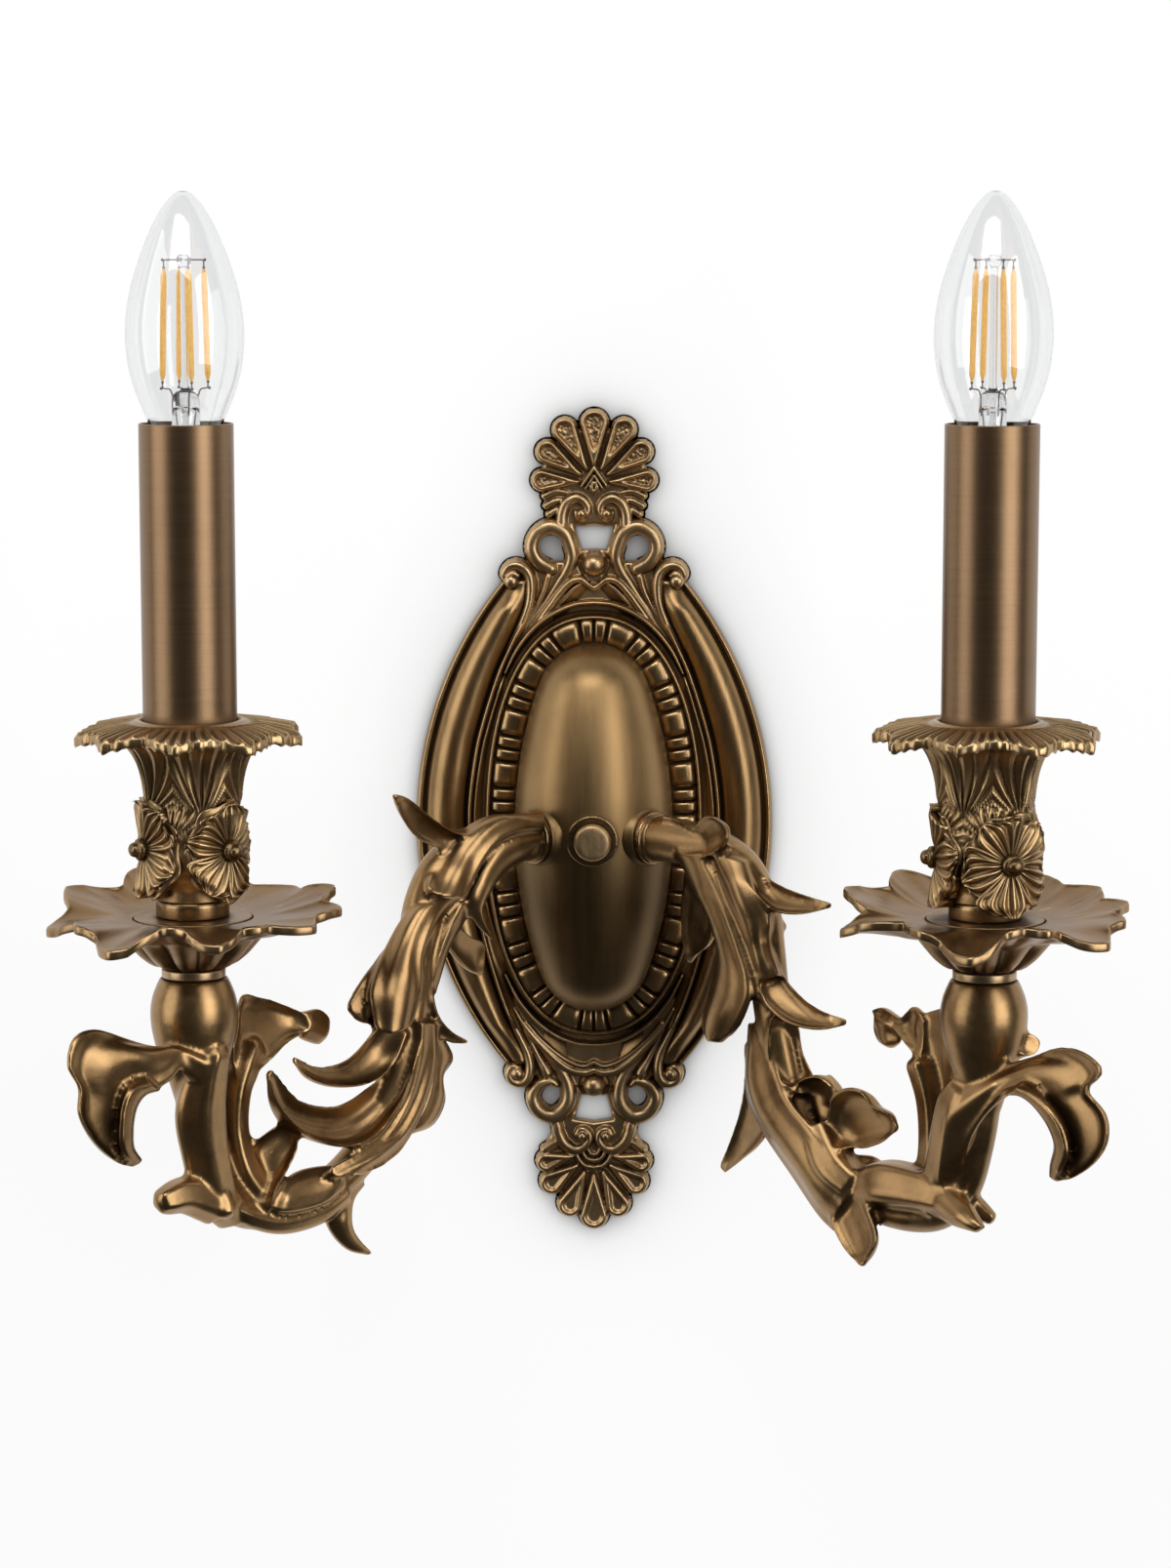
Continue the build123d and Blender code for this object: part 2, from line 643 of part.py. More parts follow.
# ---- Lamp, lampholder and candle pieces, one set for each side ----
def lamp_pieces(axis_x, axis_y, name):
    """The clear candle lamp, upright on its axis."""
    foot = (axis_x, axis_y, 0)
    inner = cap_radius - cap_wall
    tip = turned(foot, [(0, tip_bottom), (tip_radius, tip_bottom), (tip_radius, tip_bottom + tip_height),
                        (0, tip_bottom + tip_height)])
    save(tip, f"{name}_bulb_contact")
    insulator_low = tip_bottom + tip_height
    insulator = turned(foot, [(0, insulator_low), (tip_radius + cap_wall, insulator_low), (inner, cap_bottom),
                              (inner, cap_bottom + tip_height), (0, cap_bottom + tip_height)])
    save(insulator, f"{name}_bulb_insulator")
    flare_low = cap_flare_bottom - cap_flare_slope
    flare_high = cap_flare_bottom + cap_flare_slope
    cap_inner = inner + touch_gap / 2
    cap = turned(foot, [(cap_inner, cap_bottom), (cap_radius, cap_bottom), (cap_radius, flare_low),
                        (cap_flare_radius, flare_high), (cap_flare_radius, cap_top),
                        (cap_flare_radius - cap_wall, cap_top), (cap_flare_radius - cap_wall, flare_high),
                        (cap_inner, flare_low)])
    save(cap, f"{name}_bulb_cap")

    upright = Plane(origin=foot, x_dir=(1, 0, 0), z_dir=(0, -1, 0))
    neck_radius, neck_z = glass_outline[0]
    inside = [(radius - glass_wall, height) for radius, height in glass_outline]
    with BuildPart() as bulb_glass:
        with BuildSketch(upright):
            with BuildLine():
                Spline(*glass_outline, (0, lamp_tip), tangents=((0.4, 1), (-1, 0)))
                Line((0, lamp_tip), (0, lamp_tip - glass_wall))
                Spline(*inside, (0, lamp_tip - glass_wall), tangents=((0.4, 1), (-1, 0)))
                Line((neck_radius - glass_wall, neck_z), (neck_radius, neck_z))
            make_face()
        revolve(axis=Axis(foot, (0, 0, 1)))
    save(bulb_glass.part, f"{name}_bulb_glass")

    skirt = neck_radius - glass_wall - touch_gap
    shoulder = stem_radius - rod_radius
    with BuildPart() as bulb_stem:
        with BuildSketch(upright):
            with BuildLine():
                Polyline((0, neck_z), (skirt, neck_z), (stem_radius, stem_flare_top),
                         (stem_radius, stem_shoulder - shoulder))
                arc_x = rod_radius + shoulder * cos(radians(45))
                arc_z = stem_shoulder - shoulder * (1 - sin(radians(45)))
                arc_foot = (stem_radius, stem_shoulder - shoulder)
                ThreePointArc(arc_foot, (arc_x, arc_z), (rod_radius, stem_shoulder))
                bead_edge = (bead_top - bead_bottom) / 4
                Polyline((rod_radius, stem_shoulder), (rod_radius, bead_bottom),
                         (bead_radius, bead_bottom + bead_edge), (bead_radius, bead_top - bead_edge),
                         (rod_radius, bead_top), (0, bead_top), (0, neck_z))
            make_face()
        revolve(axis=Axis(foot, (0, 0, 1)))
    save(bulb_stem.part, f"{name}_bulb_stem")

    def ring_point(radius, turn, height):
        return Vector(axis_x + radius * cos(radians(turn)), axis_y + radius * sin(radians(turn)), height)

    rods = []
    wires = []
    wire_high = (bead_bottom + bead_top) / 2
    wire_low = stem_shoulder - stem_radius
    for count in range(filament_count):
        step = 360 / filament_count * count
        low = ring_point(filament_low_ring, filament_low_turn + step, filament_bottom)
        high = ring_point(filament_high_ring, filament_high_turn + step, filament_top)
        with BuildPart() as rod:
            with BuildSketch(Plane(origin=low, z_dir=high - low)):
                Circle(filament_radius)
            extrude(amount=(high - low).length)
        rods.append(rod.part)
        top_route = [
            ring_point(bead_radius + touch_gap, filament_high_turn + step, wire_high),
            ring_point(filament_high_ring, filament_high_turn + step, wire_high),
            ring_point(filament_high_ring, filament_high_turn + step, filament_top + touch_gap),
        ]
        low_route = [
            ring_point(stem_radius + touch_gap, filament_low_turn + step, wire_low),
            ring_point(filament_low_ring, filament_low_turn + step, wire_low),
            ring_point(filament_low_ring, filament_low_turn + step, filament_bottom - touch_gap),
        ]
        wires.append(round_bar(top_route, [wire_bend], wire_radius))
        wires.append(round_bar(low_route, [wire_bend], wire_radius))
    save(Compound(children=rods), f"{name}_bulb_filaments")
    save(Compound(children=wires), f"{name}_bulb_wires")


def candle_pieces(axis_x, axis_y, name):
    """Everything that stands on the vase, from the neck ring to the candle sleeve."""
    foot = (axis_x, axis_y, 0)

    def level(height):
        return Plane(origin=(axis_x, axis_y, height))

    save(ring(level(neck_ring_bottom), neck_ring_radius, tube_hole, neck_ring_height), f"{name}_neck_ring")

    recess = seat_disc_radius + hole_gap
    lip = recess - pan_lip
    outline = [(tube_hole, 0), (neck_ring_radius, 0), *pan_outside, *pan_inside]
    outline += [(recess, pan_floor_rise + pan_recess_depth), (recess, pan_floor_rise), (lip, pan_floor_rise)]
    outline += [(lip, pan_floor_rise - pan_lip_thickness), *pan_under_disc]
    outline += [(pan_boss_radius, pan_floor_rise), (tube_hole, pan_floor_rise)]
    with BuildPart() as drip_pan:
        add(turned(foot, [(radius, pan_bottom + rise) for radius, rise in outline]))
        with BuildSketch(level(pan_bottom)):
            with PolarLocations(pan_radius + pan_notch_out, pan_petals):
                Circle(pan_notch)
        extrude(amount=2 * pan_floor_rise, mode=Mode.SUBTRACT)
    save(drip_pan.part, f"{name}_drip_pan")

    save(ring(level(disc_bottom), seat_disc_radius, tube_hole, seat_disc_thickness), f"{name}_seat_disc")
    save(ring(level(foot_bottom), foot_radius, tube_hole, foot_height), f"{name}_cup_foot")

    rim = cup_top - cup_flange_drop
    outline = [(tube_hole, cup_bottom), (foot_radius + cup_foot_flare, cup_bottom)]
    outline += [(recess_radius + stand_off, cup_bottom + rise) for stand_off, rise in cup_body]
    outline += [(cup_flange_radius, rim - cup_flange_thickness), (cup_flange_radius - touch_gap, rim)]
    outline += [(recess_radius + cup_recess_wall, cup_top), (recess_radius, cup_top)]
    outline += [(recess_radius, sleeve_bottom), (cup_inner_radius, sleeve_bottom)]
    outline += [(cup_inner_radius, cup_nut_bottom), (tube_hole, cup_nut_bottom)]
    with BuildPart() as candle_cup:
        add(turned(foot, outline))
        with BuildSketch(level(cup_bottom + cup_height / 2)):
            with PolarLocations(cup_flange_radius + cup_notch_out, cup_notches):
                Circle(cup_notch_radius)
        extrude(amount=cup_height / 2, mode=Mode.SUBTRACT)
    save(candle_cup.part, f"{name}_candle_cup")

    tube_length = candle_tube_top - candle_tube_bottom
    save(ring(level(candle_tube_bottom), tube_radius, tube_bore, tube_length), f"{name}_candle_tube")
    cup_nut = hex_nut(level(cup_nut_bottom), tube_nut_flats, tube_radius + thread_gap, tube_nut_height)
    save(cup_nut, f"{name}_cup_nut")

    web_top = candle_tube_top + holder_web
    thread_hole = tube_radius + thread_gap
    shell_seat = shell_outer + thread_gap
    lampholder = turned(foot, [
        (thread_hole, holder_bottom), (holder_radius - holder_chamfer, holder_bottom),
        (holder_radius, holder_bottom + holder_chamfer),
        (holder_radius, holder_top), (holder_mouth_radius, holder_top),
        (holder_mouth_radius, holder_top - holder_mouth), (shell_seat, holder_top - holder_mouth),
        (shell_seat, web_top), (wire_hole, web_top), (wire_hole, candle_tube_top),
        (thread_hole, candle_tube_top),
    ])
    save(lampholder, f"{name}_lampholder")
    socket_shell = ring(level(shell_bottom), shell_outer, shell_inner, shell_top - shell_bottom)
    save(socket_shell, f"{name}_socket_shell")
    contact_bottom = tip_bottom - touch_gap - contact_height
    contact_foot = contact_bottom + tip_height
    socket_contact = turned(foot, [
        (0, contact_bottom), (shell_inner - contact_inset, contact_bottom),
        (shell_inner - contact_inset, contact_foot),
        (tip_radius, contact_foot), (tip_radius, tip_bottom - touch_gap), (0, tip_bottom - touch_gap),
    ])
    save(socket_contact, f"{name}_socket_contact")
    sleeve = ring(level(sleeve_bottom), sleeve_outer, sleeve_inner, sleeve_top - sleeve_bottom)
    save(sleeve, f"{name}_candle_sleeve")


def arm_pieces(side, name, leaves):
    """The cast arm, how it is fastened to the dome, and the lead inside it."""
    save(ring(arm_plane(side, boss_inner - washer_thickness), washer_radius, tube_hole, washer_thickness),
         f"{name}_arm_washer")
    nut_plane = arm_plane(side, boss_inner - washer_thickness - tube_nut_height)
    arm_nut = hex_nut(nut_plane, tube_nut_flats, tube_radius + thread_gap, tube_nut_height)
    save(arm_nut, f"{name}_arm_nut")
    nipple_length = arm_start + nipple_in_arm - nipple_inner_end
    save(ring(arm_plane(side, nipple_inner_end), tube_radius, tube_bore, nipple_length), f"{name}_arm_nipple")

    with BuildPart() as arm_collar:
        with BuildSketch(arm_plane(side, boss_proud)):
            Circle(collar_radius)
        extrude(amount=collar_band)
        with BuildSketch(arm_plane(side, boss_proud)):
            Circle(collar_neck_radius)
        extrude(amount=collar_height)
        with BuildSketch(arm_plane(side, boss_proud)):
            Circle(tube_hole)
        extrude(amount=collar_height, mode=Mode.SUBTRACT)
    save(arm_collar.part, f"{name}_arm_collar")

    route = arm_route(side)
    radii = bend_radii(route)
    trunk = round_bar(route, radii, arm_radius)
    bore = round_bar(route, radii, arm_bore)
    blades = [leaf(side, points, widths) for points, widths in leaves]
    vase_foot = (side * candle_x, -candle_reach, 0)
    vase_end = vase_outline[-1][1]
    with BuildPart() as arm:
        add(trunk)
        with BuildSketch(Plane(origin=vase_foot, x_dir=(1, 0, 0), z_dir=(0, -1, 0))):
            with BuildLine():
                Spline(*vase_outline)
                Polyline(vase_outline[-1], (0, vase_end), (0, vase_top), vase_outline[0])
            make_face()
        revolve(axis=Axis(vase_foot, (0, 0, 1)))
        for blade in blades:
            add(blade)
        add(bore, mode=Mode.SUBTRACT)
        with BuildSketch(Plane(origin=(side * candle_x, -candle_reach, vase_top))):
            Circle(tube_radius + thread_gap)
        extrude(amount=-(tube_socket + touch_gap), mode=Mode.SUBTRACT)
        with BuildSketch(arm_plane(side, arm_start)):
            Circle(tube_radius + thread_gap)
        extrude(amount=nipple_in_arm + touch_gap, mode=Mode.SUBTRACT)
    save(arm.part, f"{name}_arm")

    lead_start = Vector(side * block_pitch, entry_y, block_z)
    lead_drop = lead_start - Vector(0, 0, lead_straight)
    lead_entry = arm_point(side, nipple_inner_end - lead_entry_run, 0)
    lead_end = Vector(side * candle_x, -candle_reach, candle_tube_top)
    drop_radius, entry_radius = bend_radii([lead_start, lead_drop, lead_entry, route[0]])
    lead_radii = [drop_radius, entry_radius, *radii]
    print(f"{name}_lead bend radii", [round(radius, 1) for radius in lead_radii])
    lead = round_bar([lead_start, lead_drop, lead_entry, *route[1:-1], lead_end], lead_radii, lead_radius)
    save(lead, f"{name}_lead")


for side, name, leaves in ((-1, "left", left_leaves), (1, "right", right_leaves)):
    arm_pieces(side, name, leaves)
    candle_pieces(side * candle_x, -candle_reach, name)
    lamp_pieces(side * candle_x, -candle_reach, name)
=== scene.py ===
import json
import math

import bmesh
import bpy
import numpy as np
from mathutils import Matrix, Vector

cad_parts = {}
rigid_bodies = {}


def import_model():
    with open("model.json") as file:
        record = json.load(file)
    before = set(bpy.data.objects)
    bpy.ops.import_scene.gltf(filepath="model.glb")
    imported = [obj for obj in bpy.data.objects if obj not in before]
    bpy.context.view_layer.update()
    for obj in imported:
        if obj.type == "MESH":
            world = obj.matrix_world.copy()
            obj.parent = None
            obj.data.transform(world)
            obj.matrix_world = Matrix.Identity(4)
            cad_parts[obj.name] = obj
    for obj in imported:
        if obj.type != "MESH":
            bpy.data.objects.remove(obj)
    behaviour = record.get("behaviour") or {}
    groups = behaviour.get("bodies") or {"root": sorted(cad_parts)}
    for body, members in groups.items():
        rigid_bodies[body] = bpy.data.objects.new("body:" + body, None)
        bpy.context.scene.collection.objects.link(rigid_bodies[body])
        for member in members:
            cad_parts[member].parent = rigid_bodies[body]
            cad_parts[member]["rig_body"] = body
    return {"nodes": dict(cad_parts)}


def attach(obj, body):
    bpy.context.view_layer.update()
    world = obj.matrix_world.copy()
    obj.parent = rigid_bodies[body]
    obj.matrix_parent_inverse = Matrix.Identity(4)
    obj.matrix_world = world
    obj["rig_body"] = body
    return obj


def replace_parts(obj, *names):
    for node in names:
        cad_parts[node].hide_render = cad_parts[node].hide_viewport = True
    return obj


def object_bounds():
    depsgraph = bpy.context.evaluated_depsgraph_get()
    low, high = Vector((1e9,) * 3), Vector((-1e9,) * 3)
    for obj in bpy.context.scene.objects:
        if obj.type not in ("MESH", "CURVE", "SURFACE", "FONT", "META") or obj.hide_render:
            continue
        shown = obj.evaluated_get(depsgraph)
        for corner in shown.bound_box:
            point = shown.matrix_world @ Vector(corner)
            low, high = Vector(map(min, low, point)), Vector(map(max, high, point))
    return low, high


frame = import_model()
cad_low, cad_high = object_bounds()

# Lengths in this script are millimetres until a mesh is made. The frame is the solids' own: +Z up,
# the wall is Y = 0, the light faces -Y and the two candles stand on x = -118.5 and x = 118.5.
MM = 0.001
CANDLE_X = 118.5
CANDLE_Y = -120.0
DOME_AXIS_Y = -14.3
DOME_RADIUS = 25.7
DOME_END_RADIUS = 18.5
DOME_HALF_HEIGHT = 60.0
SEAT_X = 18.2  # where an arm meets the dome
SEAT_Y = DOME_AXIS_Y - math.sqrt(DOME_RADIUS**2 - SEAT_X**2)
ARM_TURN = math.atan2(-CANDLE_Y + SEAT_Y, CANDLE_X - SEAT_X)
dice = np.random.default_rng(7)


# ---------------------------------------------------------------- mesh helpers
def make_piece(name, points, faces, material, body="sconce", slot="antique_brass"):
    """A mesh object from points in millimetres; it rides on its body and takes the given material. The slot is not
    used.
    """
    mesh = bpy.data.meshes.new(name)
    mesh.from_pydata((np.asarray(points, dtype=float) * MM).tolist(), [], [tuple(f) for f in faces])
    mesh.validate()
    mesh.polygons.foreach_set("use_smooth", [True] * len(mesh.polygons))
    mesh.materials.append(material)
    piece = bpy.data.objects.new(name, mesh)
    bpy.context.scene.collection.objects.link(piece)
    if body:
        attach(piece, body)
    return piece


def grid_faces(rows, columns, wrap_rows=False, wrap_columns=False, start=0, flip=False):
    """Quads over a grid of points stored row by row."""
    r = np.arange(rows if wrap_rows else rows - 1)
    c = np.arange(columns if wrap_columns else columns - 1)
    rr, cc = np.meshgrid(r, c, indexing="ij")
    a = rr * columns + cc
    b = rr * columns + (cc + 1) % columns
    d = ((rr + 1) % rows) * columns + cc
    e = ((rr + 1) % rows) * columns + (cc + 1) % columns
    quads = np.stack([a, b, e, d] if not flip else [a, d, e, b], axis=-1).reshape(-1, 4) + start
    return quads.tolist()


def spin_points(outline, around=96):
    """Points of a turned shape about local Z from (radius, height) pairs, ring by ring."""
    outline = np.asarray(outline, dtype=float)
    turn = np.linspace(0, 2 * np.pi, around, endpoint=False)
    x = outline[:, 0:1] * np.cos(turn)
    y = outline[:, 0:1] * np.sin(turn)
    z = np.repeat(outline[:, 1:2], around, axis=1)
    return np.stack([x, y, z], axis=-1)


def place(points, origin, axis):
    """Turns points made about local Z on to an axis through origin."""
    turn = np.array(Vector((0, 0, 1)).rotation_difference(Vector(axis)).to_matrix())
    return points.reshape(-1, 3) @ turn.T + np.asarray(origin, dtype=float)


def rounded(outline, radius=0.5, steps=4):
    """Rounds the corners of an open line of (radius, height) pairs."""
    out = [outline[0]]
    for before, here, after in zip(outline, outline[1:], outline[2:]):
        before, here, after = (np.array(p, dtype=float) for p in (before, here, after))
        arrive = here - before
        leave = after - here
        cut = min(radius, np.linalg.norm(arrive) * 0.45, np.linalg.norm(leave) * 0.45)
        first = here - arrive / (np.linalg.norm(arrive) + 1e-9) * cut
        last = here + leave / (np.linalg.norm(leave) + 1e-9) * cut
        for t in np.linspace(0, 1, steps):
            out.append(tuple((1 - t) ** 2 * first + 2 * t * (1 - t) * here + t**2 * last))
    out.append(outline[-1])
    return out


def turned_piece(name, outline, origin, material, axis=(0, 0, 1), around=96, radius=0.5, closed=False, **kind):
    """A turned piece. A closed outline makes a ring; an open one starts and ends on the axis."""
    line = rounded(list(outline) + ([outline[0], outline[1]] if closed else []), radius)
    if closed:
        line = line[1:-1]
    points = spin_points(line, around)
    rows = len(line)
    flat = place(points, origin, axis)
    if closed:
        faces = grid_faces(rows, around, wrap_rows=True, wrap_columns=True)
    else:
        faces = grid_faces(rows, around, wrap_columns=True)
        faces.append(list(range(around))[::-1])
        faces.append([(rows - 1) * around + k for k in range(around)])
    return outward(make_piece(name, flat, faces, material, **kind))


def outward(piece):
    """Makes a closed mesh face outwards."""
    shape = bmesh.new()
    shape.from_mesh(piece.data)
    bmesh.ops.remove_doubles(shape, verts=shape.verts, dist=1e-7)
    bmesh.ops.recalc_face_normals(shape, faces=shape.faces)
    shape.to_mesh(piece.data)
    shape.free()
    return piece


def smooth_line(points, per_span=10):
    """A smooth line through points, any number of columns."""
    points = np.asarray(points, dtype=float)
    padded = np.vstack([2 * points[0] - points[1], points, 2 * points[-1] - points[-2]])
    out = []
    t = np.linspace(0, 1, per_span, endpoint=False)[:, None]
    for p0, p1, p2, p3 in zip(padded, padded[1:], padded[2:], padded[3:]):
        squared, cubed = 2 * p0 - 5 * p1 + 4 * p2 - p3, 3 * p1 - p0 - 3 * p2 + p3
        out.append(0.5 * (2 * p1 + (p2 - p0) * t + squared * t**2 + cubed * t**3))
    out.append(points[-1:])
    return np.vstack(out)


def ease(value, low, high):
    """0 below low, 1 above high, smooth between."""
    t = np.clip((np.asarray(value, dtype=float) - low) / (high - low), 0, 1)
    return t * t * (3 - 2 * t)


# ---------------------------------------------------------------- relief helpers
class Relief:
    """A casting's front drawn on an even grid. Its left half mirrors its right half."""

    def __init__(self, half_width, low, high, step):
        across = np.arange(-half_width, half_width + step / 2, step)
        up = np.arange(low, high + step / 2, step)
        self.x, self.z = np.meshgrid(across, up)
        self.side = np.abs(self.x)
        self.inside = np.full(self.x.shape, -50.0)
        self.height = np.zeros(self.x.shape)

    def near(self, line):
        """Distance to a smooth line of (x, z, half width) points, and the half width there."""
        line = smooth_line(line, 8)
        best = np.full(self.x.shape, 1e6)
        wide = np.zeros(self.x.shape)
        for (ax, az, aw), (bx, bz, bw) in zip(line, line[1:]):
            dx, dz = bx - ax, bz - az
            length = dx * dx + dz * dz + 1e-12
            t = np.clip(((self.side - ax) * dx + (self.z - az) * dz) / length, 0, 1)
            gap = np.hypot(self.side - ax - t * dx, self.z - az - t * dz)
            closer = gap < best
            best = np.where(closer, gap, best)
            wide = np.where(closer, aw + t * (bw - aw), wide)
        return best, wide

    def ground(self, reach, level):
        """Fills the outline where reach is positive, at least this high."""
        self.inside = np.maximum(self.inside, reach)
        self.height = np.where(reach > 0, np.maximum(self.height, level), self.height)

    def wire(self, line, level, rise, flange=0.6):
        """A rounded raised line with a narrow flat beside it."""
        gap, wide = self.near(line)
        self.inside = np.maximum(self.inside, wide + flange - gap)
        shape = np.clip(1 - (gap / np.maximum(wide, 1e-6)) ** 2, 0, 1) ** 0.5
        height = level + rise * np.minimum(wide, 2.6) * shape
        self.height = np.where(gap < wide, np.maximum(self.height, height), self.height)

    def ball(self, x, z, radius, level, rise):
        """A half ball, flattened by rise."""
        gap = np.hypot(self.side - x, self.z - z)
        self.inside = np.maximum(self.inside, radius + 0.4 - gap)
        shape = np.sqrt(np.clip(1 - (gap / radius) ** 2, 0, 1))
        self.height = np.where(gap < radius, np.maximum(self.height, level + rise * radius * shape), self.height)

    def groove(self, line, depth):
        """A soft groove along a line."""
        gap, wide = self.near(line)
        self.height = self.height - depth * np.exp(-((gap / np.maximum(wide, 1e-6)) ** 2) * 1.6)

    def lobe(self, root, tip, root_wide, tip_wide, level, rise, rim, dip, dip_from):
        """A drop-shaped lobe with a raised rim and a hollow."""
        dx, dz = tip[0] - root[0], tip[1] - root[1]
        length = dx * dx + dz * dz
        t = np.clip(((self.side - root[0]) * dx + (self.z - root[1]) * dz) / length, 0, 1)
        gap = np.hypot(self.side - root[0] - t * dx, self.z - root[1] - t * dz)
        reach = root_wide + (tip_wide - root_wide) * t - gap
        self.inside = np.maximum(self.inside, reach + 0.7)
        dome = np.sqrt(np.clip(1 - (1 - np.clip(reach / rim, 0, 1)) ** 2, 0, 1))
        hollow = ease(reach, rim * 0.9, rim * 1.9) * ease(t, dip_from, dip_from + 0.3)
        height = level + rise * dome - dip * hollow
        self.height = np.where(reach > 0, np.maximum(self.height, height), self.height)
        return reach, hollow

    def hole(self, reach):
        """Cuts an opening where reach is positive."""
        self.inside = np.minimum(self.inside, -reach)

    def piece(self, name, material):
        """The closed mesh: relief front that rolls over at its edge, walls and flat back on the wall plane."""
        edge_width, edge_height = 1.3, 0.3
        step_z = self.z[1, 0] - self.z[0, 0]
        g_z, g_x = np.gradient(self.inside, step_z)
        size = np.hypot(g_x, g_z) + 1e-6
        move = np.where(self.inside < 0, -self.inside, 0)
        move = np.minimum(move, 1.5 * step_z)
        x = self.x + g_x / size * move
        z = self.z + g_z / size * move
        t = np.clip(self.inside / edge_width, 0, 1)
        front = self.height * (edge_height + (1 - edge_height) * np.sqrt(1 - (1 - t) ** 2))
        rows, columns = self.x.shape
        index = np.arange(rows * columns).reshape(rows, columns)
        corners = np.stack([self.inside[:-1, :-1], self.inside[:-1, 1:], self.inside[1:, 1:], self.inside[1:, :-1]])
        keep = corners.max(axis=0) > 0.02
        a, b, c, d = index[:-1, :-1][keep], index[:-1, 1:][keep], index[1:, 1:][keep], index[1:, :-1][keep]
        quads = np.stack([a, b, c, d], axis=-1)
        used, flat = np.unique(quads, return_inverse=True)
        quads = flat.reshape(quads.shape)
        px, pz, ph = x.ravel()[used], z.ravel()[used], front.ravel()[used]
        top = np.stack([px, -ph, pz], axis=-1)
        low = np.stack([px, np.zeros_like(px), pz], axis=-1)
        count = len(used)
        edges = np.concatenate([quads[:, [0, 1]], quads[:, [1, 2]], quads[:, [2, 3]], quads[:, [3, 0]]])
        key = np.sort(edges, axis=1)
        _, first, times = np.unique(key, axis=0, return_index=True, return_counts=True)
        rim = edges[first[times == 1]]
        walls = np.stack([rim[:, 1], rim[:, 0], rim[:, 0] + count, rim[:, 1] + count], axis=-1)
        faces = quads.tolist() + (quads[:, ::-1] + count).tolist() + walls.tolist()
        return make_piece(name, np.vstack([top, low]), faces, material)


# ---------------------------------------------------------------- materials
def new_material(name):
    """A new material with its tree and principled shader."""
    material = bpy.data.materials.new(name)
    material.use_nodes = True
    tree = material.node_tree
    tree.nodes.clear()
    out = tree.nodes.new("ShaderNodeOutputMaterial")
    shader = tree.nodes.new("ShaderNodeBsdfPrincipled")
    tree.links.new(shader.outputs[0], out.inputs[0])
    return material, tree, shader


def node(tree, kind, **values):
    """A shader node with its settings."""
    made = tree.nodes.new(kind)
    for key, value in values.items():
        setattr(made, key, value)
    return made


def feed(tree, value, socket):
    """Links an output to a socket, or sets the socket to a plain value."""
    if hasattr(value, "links"):
        tree.links.new(value, socket)
    else:
        socket.default_value = value


def blend_colours(tree, factor, first, second, mode="MIX"):
    """First and second mixed by factor; each is a colour or an output."""
    mix = node(tree, "ShaderNodeMix", data_type="RGBA", blend_type=mode)
    for socket, value in ((0, factor), (6, first), (7, second)):
        feed(tree, value, mix.inputs[socket])
    return mix.outputs[2]


def ramp(tree, source, stops):
    """A colour ramp from (position, colour or grey) stops."""
    made = node(tree, "ShaderNodeValToRGB")
    points = made.color_ramp.elements
    while len(points) < len(stops):
        points.new(0.5)
    for point, (position, value) in zip(points, stops):
        point.position = position
        point.color = value if isinstance(value, tuple) else (value, value, value, 1)
    tree.links.new(source, made.inputs[0])
    return made.outputs[0]


def math_node(tree, operation, first, second):
    """One arithmetic step on two numbers or outputs."""
    made = node(tree, "ShaderNodeMath", operation=operation)
    for socket, value in ((0, first), (1, second)):
        feed(tree, value, made.inputs[socket])
    return made.outputs[0]


def bumpy(tree, shader, height, strength, depth):
    """Raises a finish's surface by a height signal; depth in metres."""
    bump = node(tree, "ShaderNodeBump")
    bump.inputs["Strength"].default_value = strength
    bump.inputs["Distance"].default_value = depth
    tree.links.new(height, bump.inputs["Height"])
    tree.links.new(bump.outputs[0], shader.inputs["Normal"])


def noise_at(tree, vector, scale, detail, rough, stretch=None):
    """Soft noise, drawn out along the axes with a small stretch."""
    if stretch:
        mapping = node(tree, "ShaderNodeMapping")
        mapping.inputs["Scale"].default_value = stretch
        tree.links.new(vector, mapping.inputs["Vector"])
        vector = mapping.outputs[0]
    made = node(tree, "ShaderNodeTexNoise")
    made.inputs["Scale"].default_value = scale
    made.inputs["Detail"].default_value = detail
    made.inputs["Roughness"].default_value = rough
    tree.links.new(vector, made.inputs["Vector"])
    return made.outputs["Fac"]


# How far round a point the patina and painted shade look for a hollow, in metres
BROAD_HOLLOW = 0.007
NARROW_HOLLOW = 0.0022


